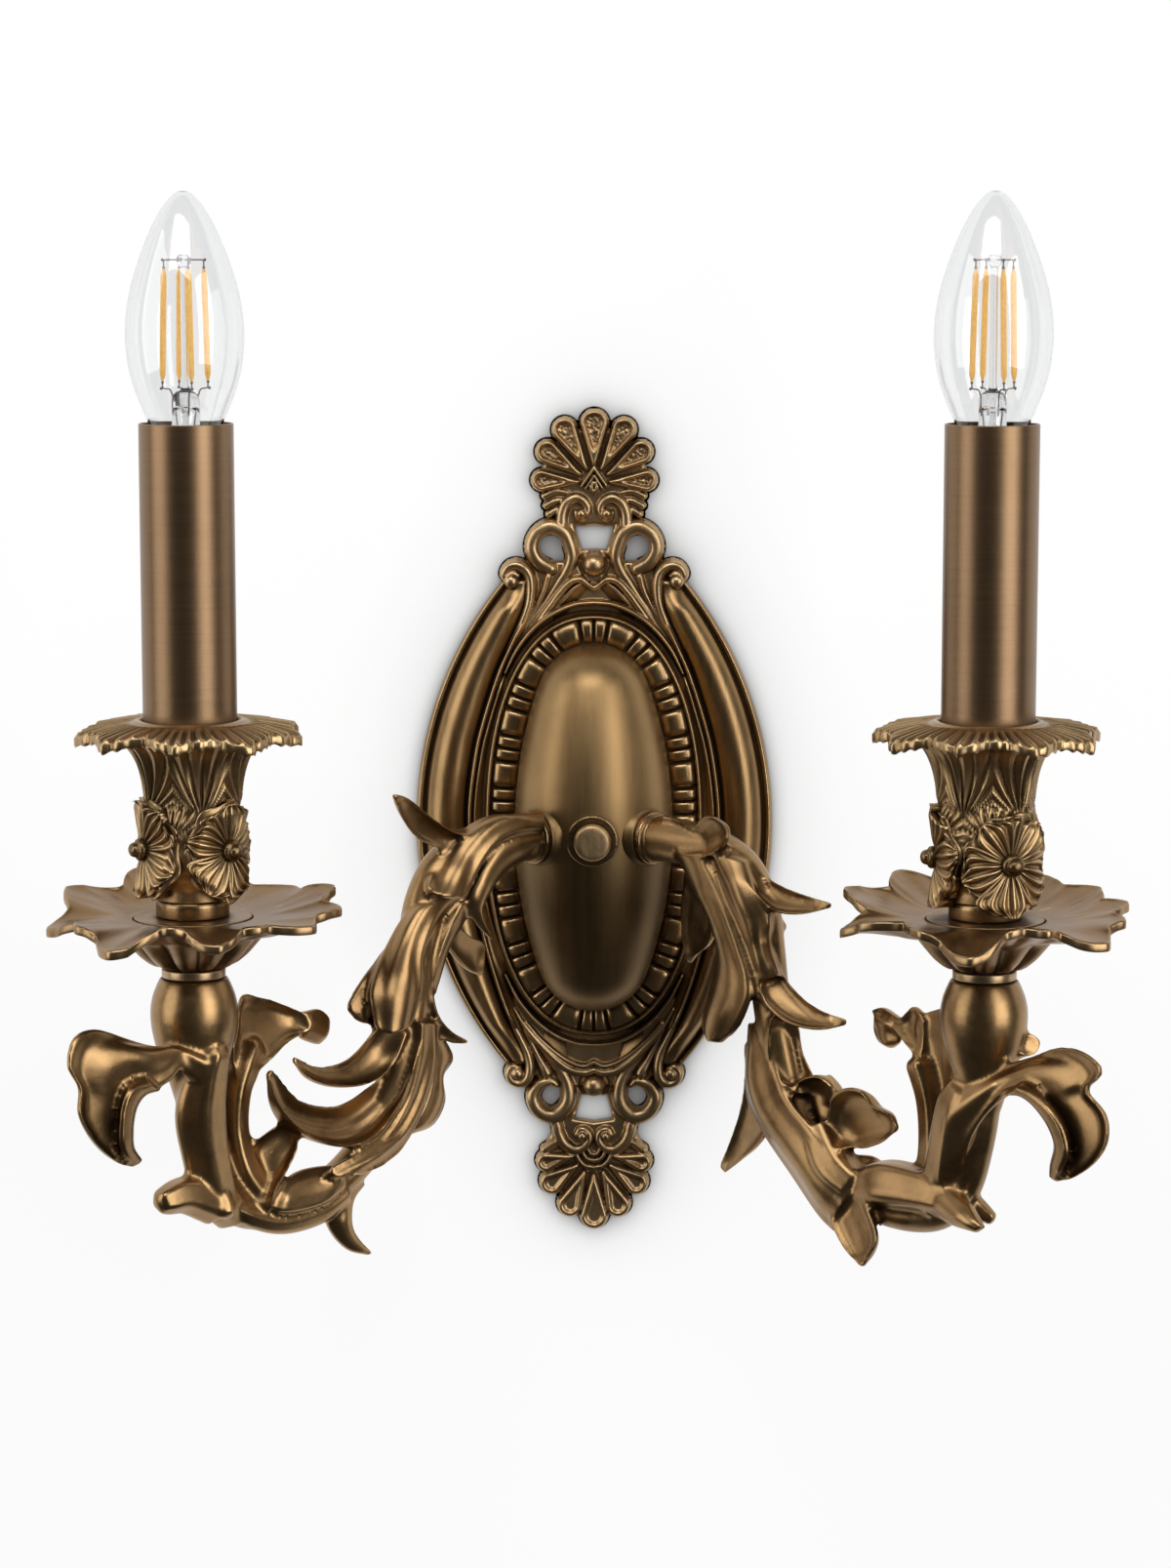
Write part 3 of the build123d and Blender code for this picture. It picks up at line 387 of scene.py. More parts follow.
def aged_brass(name, body, dark, roughness, stretch=(1.0, 1.0, 1.0), wear=1.0, recess=1.0, pits=0.06,
               strokes=0.25, streaks=1.0, fine=60.0, reach=1.0):
    """Antique brass: brushed strokes, brown patina and painted shade that darken the recesses, edges worn bright."""
    material, tree, shader = new_material(name)
    where = node(tree, "ShaderNodeTexCoord").outputs["Object"]
    cloud = noise_at(tree, where, 22.0, 4.0, 0.6)
    speck = noise_at(tree, where, 900.0, 3.0, 0.7)
    brush = noise_at(tree, where, fine, 5.0, 0.75, stretch)
    shape = node(tree, "ShaderNodeNewGeometry").outputs["Pointiness"]
    broad, narrow = (node(tree, "ShaderNodeAmbientOcclusion", samples=8) for _ in range(2))
    broad.inputs["Distance"].default_value = BROAD_HOLLOW * reach
    narrow.inputs["Distance"].default_value = NARROW_HOLLOW * reach
    hollow = math_node(tree, "MULTIPLY", broad.outputs["AO"], narrow.outputs["AO"])
    mottled = ramp(tree, cloud, [(0.30, dark), (0.52, body), (0.80, body)])
    tone = blend_colours(tree, 0.42, body, mottled)
    streak = ramp(tree, brush, [(0.30, 1 - 0.28 * streaks), (0.50, 1.0), (0.72, 1 + 0.14 * streaks)])
    tone = blend_colours(tree, 1.0, tone, streak, "MULTIPLY")
    # Recess darkening from ambient occlusion: partly the brass's real patina, partly painted shade.
    open_to_light = ramp(tree, hollow, [(0.20, 0.0), (0.72, 1.0)])
    patina_and_painted_shade = blend_colours(tree, 1.0 - recess, dark, tone)
    tone = blend_colours(tree, open_to_light, patina_and_painted_shade, tone)
    edge = ramp(tree, shape, [(0.505, 0.0), (0.57, 1.0)])
    rubbed = math_node(tree, "MULTIPLY", edge, ramp(tree, cloud, [(0.25, 0.45), (0.6, 1.0)]))
    tone = blend_colours(tree, math_node(tree, "MULTIPLY", rubbed, 0.62 * wear), tone, BRIGHT_BRASS)
    tree.links.new(tone, shader.inputs["Base Color"])
    shader.inputs["Metallic"].default_value = 1.0
    rough = math_node(tree, "ADD", math_node(tree, "MULTIPLY", brush, strokes), roughness - strokes * 0.5)
    rough = math_node(tree, "ADD", rough,
                      math_node(tree, "MULTIPLY", math_node(tree, "SUBTRACT", 1.0, open_to_light), 0.22))
    rough = math_node(tree, "SUBTRACT", rough, math_node(tree, "MULTIPLY", rubbed, 0.08))
    tree.links.new(rough, shader.inputs["Roughness"])
    pitted, brushed = math_node(tree, "MULTIPLY", speck, pits * 6), math_node(tree, "MULTIPLY", brush, 0.55)
    bumpy(tree, shader, math_node(tree, "ADD", pitted, brushed), 0.28, 0.00035)
    return material


def plain_finish(name, colour, metallic, roughness, grain=0.15, scale=400.0, stretch=None, coat=0.0):
    """A plain finish with fine grain in its colour, gloss and surface."""
    material, tree, shader = new_material(name)
    where = node(tree, "ShaderNodeTexCoord").outputs["Object"]
    grains = noise_at(tree, where, scale, 4.0, 0.6, stretch)
    dark = tuple(c * (1 - grain) for c in colour[:3]) + (1,)
    light = tuple(min(1.0, c * (1 + grain)) for c in colour[:3]) + (1,)
    tone = ramp(tree, grains, [(0.3, dark), (0.7, light)])
    tree.links.new(tone, shader.inputs["Base Color"])
    shader.inputs["Metallic"].default_value = metallic
    rough = math_node(tree, "ADD", math_node(tree, "MULTIPLY", grains, 0.16), roughness - 0.08)
    tree.links.new(rough, shader.inputs["Roughness"])
    shader.inputs["Coat Weight"].default_value = coat
    bumpy(tree, shader, grains, 0.15, 0.0002)
    return material


BODY_BRASS = (0.335, 0.205, 0.092, 1)
DARK_BRASS = (0.040, 0.020, 0.009, 1)
BRIGHT_BRASS = (0.66, 0.47, 0.25, 1)
cast_brass = aged_brass("cast brass", BODY_BRASS, DARK_BRASS, 0.32, wear=0.85, pits=0.05, strokes=0.2, streaks=1.1,
                        reach=1.7)
plate_brass = aged_brass("plate brass", (0.33, 0.205, 0.092, 1), DARK_BRASS, 0.34, (5.0, 1.0, 0.35), wear=0.7,
                         recess=0.85, pits=0.05, strokes=0.2, streaks=0.8, reach=0.5)
crest_brass = aged_brass("crest brass", (0.50, 0.335, 0.175, 1), (0.075, 0.040, 0.018, 1), 0.36, wear=0.8,
                         recess=0.85, pits=0.05, strokes=0.2, reach=0.42)
turned_brass = aged_brass("turned brass", (0.31, 0.195, 0.092, 1), DARK_BRASS, 0.26, (0.25, 0.25, 9.0), wear=0.8)
sleeve_brass = aged_brass("sleeve brass", (0.22, 0.138, 0.076, 1), (0.15, 0.09, 0.046, 1), 0.34, (0.15, 0.15, 8.0),
                          wear=0.6, recess=0.4, pits=0.02, strokes=0.10, streaks=0.35, fine=190.0)
zinc = plain_finish("zinc plate", (0.60, 0.60, 0.60, 1), 1.0, 0.34, 0.1, 300.0)
raw_brass = plain_finish("turned yellow brass", (0.72, 0.52, 0.22, 1), 1.0, 0.28, 0.1, 300.0, (0.3, 0.3, 6.0))
block_white = plain_finish("block plastic", (0.82, 0.80, 0.74, 1), 0.0, 0.5, 0.05, 700.0)
holder_black = plain_finish("holder plastic", (0.035, 0.034, 0.033, 1), 0.0, 0.45, 0.2, 600.0)
lead_clear = plain_finish("lead sheath", (0.66, 0.64, 0.58, 1), 0.0, 0.35, 0.06, 500.0)
cap_nickel = plain_finish("cap nickel", (0.66, 0.64, 0.60, 1), 1.0, 0.22, 0.08, 400.0, (0.3, 0.3, 6.0))
glass_black = plain_finish("black glass", (0.02, 0.02, 0.025, 1), 0.0, 0.12, 0.2, 300.0, None, 0.6)
dull_solder = plain_finish("solder", (0.50, 0.50, 0.52, 1), 1.0, 0.42, 0.15, 900.0)
wire_grey = plain_finish("drawn wire", (0.28, 0.24, 0.24, 1), 1.0, 0.35, 0.12, 800.0)


def clear_glass(name, tint, roughness, grey):
    """Clear lamp glass, greyer where a line of sight runs far inside it."""
    material, tree, shader = new_material(name)
    where = node(tree, "ShaderNodeTexCoord").outputs["Object"]
    ripple = noise_at(tree, where, 55.0, 2.0, 0.5)
    shader.inputs["Base Color"].default_value = tint
    shader.inputs["Transmission Weight"].default_value = 1.0
    shader.inputs["Roughness"].default_value = roughness
    shader.inputs["IOR"].default_value = 1.45
    bumpy(tree, shader, ripple, 0.02, 0.0002)
    inside = node(tree, "ShaderNodeVolumeAbsorption")
    inside.inputs["Color"].default_value = (0.50, 0.51, 0.52, 1)
    inside.inputs["Density"].default_value = grey
    tree.links.new(inside.outputs[0], tree.nodes["Material Output"].inputs["Volume"])
    return material


lamp_glass = clear_glass("lamp glass", (0.985, 0.99, 0.99, 1), 0.0, 190.0)
stem_glass = clear_glass("stem glass", (0.96, 0.96, 0.96, 1), 0.02, 60.0)


def filament_amber():
    """Amber coating over a rod, with a faint warm painted glow that lifts its brightness."""
    material, tree, shader = new_material("filament amber")
    where = node(tree, "ShaderNodeTexCoord").outputs["Object"]
    grains = noise_at(tree, where, 900.0, 3.0, 0.6)
    tone = ramp(tree, grains, [(0.3, (0.92, 0.50, 0.12, 1)), (0.7, (1.0, 0.62, 0.20, 1))])
    tree.links.new(tone, shader.inputs["Base Color"])
    shader.inputs["Roughness"].default_value = 0.4
    shader.inputs["Subsurface Weight"].default_value = 0.15
    shader.inputs["Subsurface Scale"].default_value = 0.001
    # Painted glow: the amber coating gives off a little light of its own to brighten it.
    tree.links.new(tone, shader.inputs["Emission Color"])
    shader.inputs["Emission Strength"].default_value = 0.34
    return material


amber = filament_amber()


# ---------------------------------------------------------------- backplate
RIM_RADIUS = 126.5
RIM_CENTRE = 68.0
PLATE_HALF_DEPTH = 80.0
BAND_HALF_WIDTH = 29.4
BAND_HALF_HEIGHT = 64.1
BAND_FULLNESS = 2.25
BAND_FLOOR = 8.4


def band_point(turn, out=0.0):
    """A point of the upright oval that the beads follow, turn from the right, out along the oval's normal."""
    c, s = np.cos(turn), np.sin(turn)
    power = 2 / BAND_FULLNESS
    x = BAND_HALF_WIDTH * np.sign(c) * np.abs(c) ** power
    z = BAND_HALF_HEIGHT * np.sign(s) * np.abs(s) ** power
    nx = np.sign(x) * np.abs(x / BAND_HALF_WIDTH) ** (BAND_FULLNESS - 1) / BAND_HALF_WIDTH
    nz = np.sign(z) * np.abs(z / BAND_HALF_HEIGHT) ** (BAND_FULLNESS - 1) / BAND_HALF_HEIGHT
    size = np.hypot(nx, nz) + 1e-12
    return x + out * nx / size, z + out * nz / size


def even_turns(count):
    """Turns of evenly spaced points of the band's line, starting at its top, and the line's length."""
    fine = np.linspace(0.5 * np.pi, 2.5 * np.pi, 4001)
    x, z = band_point(fine)
    length = np.concatenate([[0], np.cumsum(np.hypot(np.diff(x), np.diff(z)))])
    return np.interp(np.linspace(0, length[-1], count, endpoint=False), length, fine), length[-1]


# The raised line on the inner side of each side panel, and the finer one inside it: (height, from the middle)
STEM_LINE = [(-80, 21.2), (-77, 21.7), (-71.6, 24.3), (-65.3, 27.2), (-58, 30.0), (-50, 32.6), (-40, 35.4),
             (-30, 37.6), (-18, 39.6), (0, 40.7), (12, 40.1), (25, 38.2), (33.3, 36.2), (42.3, 33.5), (51.3, 30.4),
             (59.5, 26.7), (66.8, 23.3), (73.3, 21.0), (80, 20.2)]
FINE_LINE = [(-80, 15.0), (-66, 19.5), (-57, 24.2), (-48, 28.2), (-38, 31.9), (-28, 34.8), (-14, 37.6), (0, 38.9),
             (12, 38.3), (25, 36.3), (32.5, 34.4), (40.7, 32.0), (49.7, 29.1), (57.9, 25.0), (64.8, 19.5), (80, 8.0)]


def along(line, height):
    """Distance from the middle of an upright line at these heights."""
    line = smooth_line(line, 12)
    return np.interp(height, line[:, 0], line[:, 1])


def plate_sides():
    """The convex side panels, their rim, and the fine lines between them and the bead band."""
    rows = np.linspace(-PLATE_HALF_DEPTH, PLATE_HALF_DEPTH, 150)
    outer = np.sqrt(RIM_RADIUS**2 - rows**2) - RIM_CENTRE
    stem = along(STEM_LINE, rows)
    fine = along(FINE_LINE, rows)
    # (how far across, height) of each named edge; panel points lie between its two grooves
    columns = []
    for step, level in ((0, 0.0), (0, 1.6), (0.25, 2.7), (0.7, 3.6), (1.3, 4.1), (1.9, 3.8), (2.4, 3.1), (2.7, 2.5)):
        columns.append((outer - step, np.full_like(rows, level)))
    panel_out = outer - 3.0
    panel_in = stem + 1.35
    tail = ease(rows, -78, -66) * (1 - ease(rows, 70, 78.5))
    for share in np.linspace(0, 1, 24):
        x = panel_out + (panel_in - panel_out) * share
        bulge = np.sin(np.pi * share) ** 0.62
        level = 2.9 + share * 1.6 + 4.9 * bulge * (0.35 + 0.65 * tail)
        columns.append((x, level))
    stem_part = 1 - ease(np.abs(rows), 62, 78)
    open_part = 1 - ease(np.abs(rows), 44, 56)
    for step, level in ((1.2, 3.9), (0.95, 5.6), (0.6, 7.3), (0.2, 7.9), (-0.2, 7.9), (-0.6, 7.3), (-0.9, 6.3),
                        (-1.05, 6.1)):
        columns.append((stem + step, 2.6 + (level - 2.6) * stem_part))
    for step, level in ((0.55, 6.3), (0.4, 7.1), (0.1, 7.5), (-0.2, 7.4), (-0.55, 6.8)):
        columns.append((np.minimum(fine + step, stem - 1.1 - 0.1 * (0.6 - step)), 1.2 + (level - 1.2) * open_part))
    last_x = columns[-1][0]
    for share, level in ((0.2, 6.2), (0.45, 5.9), (0.7, 6.1), (1.0, 6.8)):
        columns.append((last_x * (1 - share) + share * (last_x - 6.5), 1.2 + (level - 1.2) * open_part))
    columns.append((columns[-1][0], np.full_like(rows, 4.4)))
    for step, level in ((5.8, 1.5), (5.2, 0.9), (5.2, 0.0)):
        columns.append((outer - step, np.full_like(rows, level)))
    points = np.stack([np.stack([x, -level, rows], axis=-1) for x, level in columns], axis=1)
    count = points.shape[1]
    for side in (1, -1):
        flat = points * np.array([side, 1, 1])
        faces = grid_faces(len(rows), count, wrap_columns=True)
        faces.append(list(range(count)))
        faces.append([(len(rows) - 1) * count + k for k in range(count)][::-1])
        name = "plate_side_right" if side > 0 else "plate_side_left"
        outward(make_piece(name, flat.reshape(-1, 3), faces, plate_brass))


def band_frame():
    """The oval moulding that holds the beads: outer rail, bead floor, inner edge, and the inside of the plate."""
    count = 300
    turn, _ = even_turns(count)
    squeeze = 0.86 + 0.14 * np.abs(np.cos(turn)) ** 1.5
    section = [(7.6, 4.0), (7.3, 6.0), (6.9, 6.6), (6.5, 6.9), (6.35, 7.4), (6.25, 8.4), (6.0, 9.4), (5.7, 10.05),
               (5.35, 10.35), (5.0, 10.3), (4.7, 9.9), (4.5, 9.2), (4.42, 8.6), (4.3, BAND_FLOOR),
               (2.0, BAND_FLOOR), (0.0, BAND_FLOOR), (-2.0, BAND_FLOOR), (-4.1, BAND_FLOOR), (-4.45, 8.7),
               (-4.7, 8.9), (-5.0, 8.7), (-5.3, 7.6), (-5.3, 5.4), (-4.6, 5.4), (0.0, 5.6), (5.0, 5.0), (7.0, 2.2)]
    x, z = band_point(turn)
    far_x, far_z = band_point(turn, 1.0)
    rings = []
    for out, level in section:
        share = out * squeeze
        rings.append(np.stack([x + (far_x - x) * share, np.full_like(x, -level), z + (far_z - z) * share], axis=-1))
    points = np.stack(rings, axis=1)
    faces = grid_faces(count, len(section), wrap_rows=True, wrap_columns=True)
    return outward(make_piece("band_frame", points.reshape(-1, 3), faces, plate_brass))


def pillow(half_length, half_width, top):
    """One bead of the band: a soft-edged pillow over (along, across, up)."""
    across = np.sin(np.linspace(-0.5, 0.5, 9) * np.pi)
    reach_u, reach_v = np.meshgrid(across, across, indexing="ij")
    fall = np.clip((1 - np.abs(reach_u) ** 9) * (1 - np.abs(reach_v) ** 8), 0, 1) ** 0.5
    crown = 0.62 + 0.38 * (1 - reach_v**2)
    x = reach_u * half_length * (1 - 0.06 * reach_v**4)
    y = reach_v * half_width * (1 - 0.04 * reach_u**4)
    z = top * fall * crown
    points = np.stack([x, y, z], axis=-1).reshape(-1, 3)
    foot = points.copy()
    foot[:, 2] = -0.6
    faces = grid_faces(9, 9)
    low = [[k + 81 for k in f][::-1] for f in faces]
    edge = [*range(9), *range(17, 81, 9), *range(79, 71, -1), *range(63, 0, -9)]
    walls = [[a + 81, b + 81, b, a] for a, b in zip(edge, edge[1:] + edge[:1])]
    return np.vstack([points, foot]), faces + low + walls


# ---------------------------------------------------------------- geometry nodes
class Tree:
    """A geometry node tree with named inputs, built in order."""

    def __init__(self, name):
        self.group = bpy.data.node_groups.new(name, "GeometryNodeTree")
        self.group.interface.new_socket("Geometry", in_out="INPUT", socket_type="NodeSocketGeometry")
        self.group.interface.new_socket("Geometry", in_out="OUTPUT", socket_type="NodeSocketGeometry")
        self.start = self.group.nodes.new("NodeGroupInput")
        self.end = self.group.nodes.new("NodeGroupOutput")

    def named(self, name, kind, value=None):
        """An input of the tree, by name."""
        socket = self.group.interface.new_socket(name, in_out="INPUT", socket_type="NodeSocket" + kind)
        if value is not None:
            socket.default_value = value
        return self.start.outputs[name]

    def add(self, kind, links=None, **values):
        """A node with its settings; links gives each socket an output or a plain value."""
        made = self.group.nodes.new(kind)
        for key, value in values.items():
            setattr(made, key, value)
        for key, value in (links or {}).items():
            socket = made.inputs[key]
            if hasattr(value, "is_output"):
                self.group.links.new(value, socket)
            else:
                socket.default_value = value
        return made

    def maths(self, operation, first, second=0.0):
        """One arithmetic step on two numbers or outputs."""
        return self.add("ShaderNodeMath", {0: first, 1: second}, operation=operation).outputs[0]

    def finish(self, geometry, material):
        """Turns what was built into plain mesh, gives it its finish and ends the tree."""
        whole = self.add("GeometryNodeRealizeInstances", {0: geometry}).outputs[0]
        painted = self.add("GeometryNodeSetMaterial", {"Geometry": whole, "Material": material}).outputs[0]
        self.group.links.new(painted, self.end.inputs[0])
        return self.group


def grown(name, tree, base_points, base_edges, values, body="sconce"):
    """Runs a geometry node tree on a base mesh and keeps the result as a plain mesh piece."""
    mesh = bpy.data.meshes.new(name + "_base")
    mesh.from_pydata((np.asarray(base_points, dtype=float) * MM).tolist(), base_edges, [])
    holder = bpy.data.objects.new(name + "_base", mesh)
    bpy.context.scene.collection.objects.link(holder)
    modifier = holder.modifiers.new("grow", "NODES")
    modifier.node_group = tree
    for item in tree.interface.items_tree:
        if item.in_out == "INPUT" and item.name in values:
            modifier[item.identifier] = values[item.name]
    holder.update_tag()
    bpy.context.view_layer.update()
    result = bpy.data.meshes.new_from_object(holder.evaluated_get(bpy.context.evaluated_depsgraph_get()))
    holder.modifiers.clear()
    bpy.data.objects.remove(holder)
    result.name = name
    result.polygons.foreach_set("use_smooth", [True] * len(result.polygons))
    piece = bpy.data.objects.new(name, result)
    bpy.context.scene.collection.objects.link(piece)
    if body:
        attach(piece, body)
    return piece


def hidden_shape(name, points, faces):
    """A small shape that a tree repeats; it isn't shown itself."""
    mesh = bpy.data.meshes.new(name)
    mesh.from_pydata((np.asarray(points) * MM).tolist(), [], faces)
    mesh.polygons.foreach_set("use_smooth", [True] * len(mesh.polygons))
    made = bpy.data.objects.new(name, mesh)
    bpy.context.scene.collection.objects.link(made)
    made.hide_render = True
    made.hide_viewport = True
    return made


def bead_tree():
    """Repeats a large bead and a pair of small ones along a closed line: laid straight first, then bent on to it."""
    tree = Tree("bead band")
    groups = tree.named("Groups", "Int", 18)
    length = tree.named("Line length", "Float", 0.3)
    large = tree.named("Large bead", "Object")
    small = tree.named("Small bead", "Object")
    apart = tree.named("Small bead spacing", "Float", 0.004)
    lift = tree.named("Floor height", "Float", 0.0084)
    material = tree.named("Material", "Material")
    pitch = tree.add("ShaderNodeMath", {0: length, 1: groups}, operation="DIVIDE").outputs[0]
    number = tree.add("GeometryNodeInputIndex").outputs[0]

    def at(count, where, bead):
        points = tree.add("GeometryNodePoints", {"Count": count}).outputs[0]
        spot = tree.add("ShaderNodeCombineXYZ", {"X": where}).outputs[0]
        moved = tree.add("GeometryNodeSetPosition", {"Geometry": points, "Position": spot}).outputs[0]
        shape = tree.add("GeometryNodeObjectInfo", {"Object": bead}).outputs["Geometry"]
        return tree.add("GeometryNodeInstanceOnPoints", {"Points": moved, "Instance": shape}).outputs[0]

    maths = tree.maths
    middle = maths("MULTIPLY", maths("ADD", number, 0.5), pitch)
    group_start = maths("MULTIPLY", maths("FLOOR", maths("MULTIPLY", number, 0.5), 0.0), pitch)
    swing = maths("SUBTRACT", maths("MODULO", number, 2.0), 0.5)
    pair = maths("ADD", group_start, maths("MULTIPLY", swing, apart))
    twice = maths("MULTIPLY", groups, 2.0)
    joined = tree.add("GeometryNodeJoinGeometry")
    tree.group.links.new(at(groups, middle, large), joined.inputs[0])
    tree.group.links.new(at(twice, pair, small), joined.inputs[0])
    laid = tree.add("GeometryNodeRealizeInstances", {0: joined.outputs[0]}).outputs[0]
    line = tree.add("GeometryNodeMeshToCurve", {"Mesh": tree.start.outputs["Geometry"]}).outputs[0]
    flat = tree.add("ShaderNodeSeparateXYZ", {0: tree.add("GeometryNodeInputPosition").outputs[0]})
    reach = maths("FLOORED_MODULO", maths("ADD", flat.outputs[0], length), length)
    sample = tree.add("GeometryNodeSampleCurve", {"Curves": line, "Length": reach}, mode="LENGTH")
    heading = sample.outputs["Tangent"]
    sideways = tree.add("ShaderNodeVectorMath", {0: heading, 1: (0, -1, 0)}, operation="CROSS_PRODUCT").outputs[0]
    shift = tree.add("ShaderNodeVectorMath", {0: sideways, "Scale": flat.outputs[1]}, operation="SCALE").outputs[0]
    rise = tree.add("ShaderNodeCombineXYZ",
                    {"Y": maths("MULTIPLY", maths("ADD", flat.outputs[2], lift), -1.0)}).outputs[0]
    spot = tree.add("ShaderNodeVectorMath", {0: sample.outputs["Position"], 1: shift}, operation="ADD").outputs[0]
    spot = tree.add("ShaderNodeVectorMath", {0: spot, 1: rise}, operation="ADD").outputs[0]
    bent = tree.add("GeometryNodeSetPosition", {"Geometry": laid, "Position": spot}).outputs[0]
    return tree.finish(bent, material)


def band_beads():
    """The beads of the band: eighteen large ones with a pair of small ones between."""
    turn, length = even_turns(720)
    x, z = band_point(turn)
    points = np.stack([x, np.zeros_like(x), z], axis=-1)
    edges = [(k, (k + 1) % 720) for k in range(720)]
    large = hidden_shape("large_bead", *pillow(4.15, 4.35, 2.7))
    small = hidden_shape("small_bead", *pillow(1.80, 4.3, 2.5))
    values = {"Groups": 18, "Line length": length * MM, "Large bead": large, "Small bead": small,
              "Small bead spacing": 4.1 * MM, "Floor height": BAND_FLOOR * MM, "Material": plate_brass}
    return grown("band_beads", bead_tree(), points, edges, values)


def dome_piece():
    """The smooth oval dome in the middle of the plate."""
    end_radius, half_height = DOME_END_RADIUS, DOME_HALF_HEIGHT
    end_centre = half_height - end_radius
    long_radius = (DOME_RADIUS**2 + end_centre**2 - end_radius**2) / (2 * (DOME_RADIUS - end_radius))
    lean = math.atan2(end_centre, long_radius - DOME_RADIUS)
    rows = -half_height * np.cos(np.linspace(0, np.pi, 90))
    radius = np.where(
        np.abs(rows) > end_centre + end_radius * math.sin(lean),
        np.sqrt(np.clip(end_radius**2 - (np.abs(rows) - end_centre) ** 2, 0, None)),
        np.sqrt(np.clip(long_radius**2 - rows**2, 0, None)) + DOME_RADIUS - long_radius,
    )
    turn = np.linspace(-0.5 * np.pi, 0.5 * np.pi, 90)
    arc = np.stack([radius[:, None] * np.sin(turn), DOME_AXIS_Y - radius[:, None] * np.cos(turn),
                    np.repeat(rows[:, None], len(turn), axis=1)], axis=-1)
    skirt = [(1.050, 1.026, 6.0), (1.034, 1.018, 7.6), (1.012, 1.006, 9.0), (1.0, 1.0, 10.6), (1.0, 1.0, 12.6)]
    left = np.stack([np.stack([-radius * wide, np.full_like(radius, -level), rows * tall], axis=-1)
                     for wide, tall, level in skirt], axis=1)
    outside = np.concatenate([left, arc, left[:, ::-1] * np.array([-1, 1, 1])], axis=1)
    x, y, z = np.moveaxis(outside, -1, 0)
    inside = np.stack([x * 0.9, y + 2.5 * np.clip((-y - 6.0) / 8.3, 0, 1), z * 0.955], axis=-1)
    count = outside.shape[0] * outside.shape[1]
    rows_n, columns_n = x.shape
    faces = grid_faces(rows_n, columns_n) + [[k + count for k in f][::-1] for f in grid_faces(rows_n, columns_n)]
    for foot in ([r * columns_n for r in range(rows_n)], [r * columns_n + columns_n - 1 for r in range(rows_n)]):
        faces += [[a, b, b + count, a + count] for a, b in zip(foot, foot[1:])]
    points = np.vstack([outside.reshape(-1, 3), inside.reshape(-1, 3)])
    return outward(make_piece("dome", points, faces, dome_brass))


def paint_lower_shade(material):
    """Paints shade on a finish over the lower half of the dome, darker by height from -60 mm to 60 mm."""
    tree = material.node_tree
    shader = next(n for n in tree.nodes if n.type == "BSDF_PRINCIPLED")
    plain = shader.inputs["Base Color"].links[0].from_socket
    split = node(tree, "ShaderNodeSeparateXYZ")
    tree.links.new(node(tree, "ShaderNodeTexCoord").outputs["Object"], split.inputs[0])
    height = math_node(tree, "ADD", math_node(tree, "MULTIPLY", split.outputs[2], 1 / 0.12), 0.5)
    # Painted shade: the lower dome darkened as though lit from above.
    shade = ramp(tree, height, [(0.02, 0.62), (0.14, 0.50), (0.32, 0.38), (0.47, 0.52), (0.62, 0.95), (0.80, 1.0)])
    tree.links.new(blend_colours(tree, 1.0, plain, shade, "MULTIPLY"), shader.inputs["Base Color"])
    return material


dome_brass = paint_lower_shade(aged_brass("dome brass", (0.37, 0.235, 0.105, 1), (0.15, 0.09, 0.038, 1), 0.42,
                                   (6.0, 1.0, 0.30), wear=0.5, recess=0.6, pits=0.03, strokes=0.14, streaks=0.45))


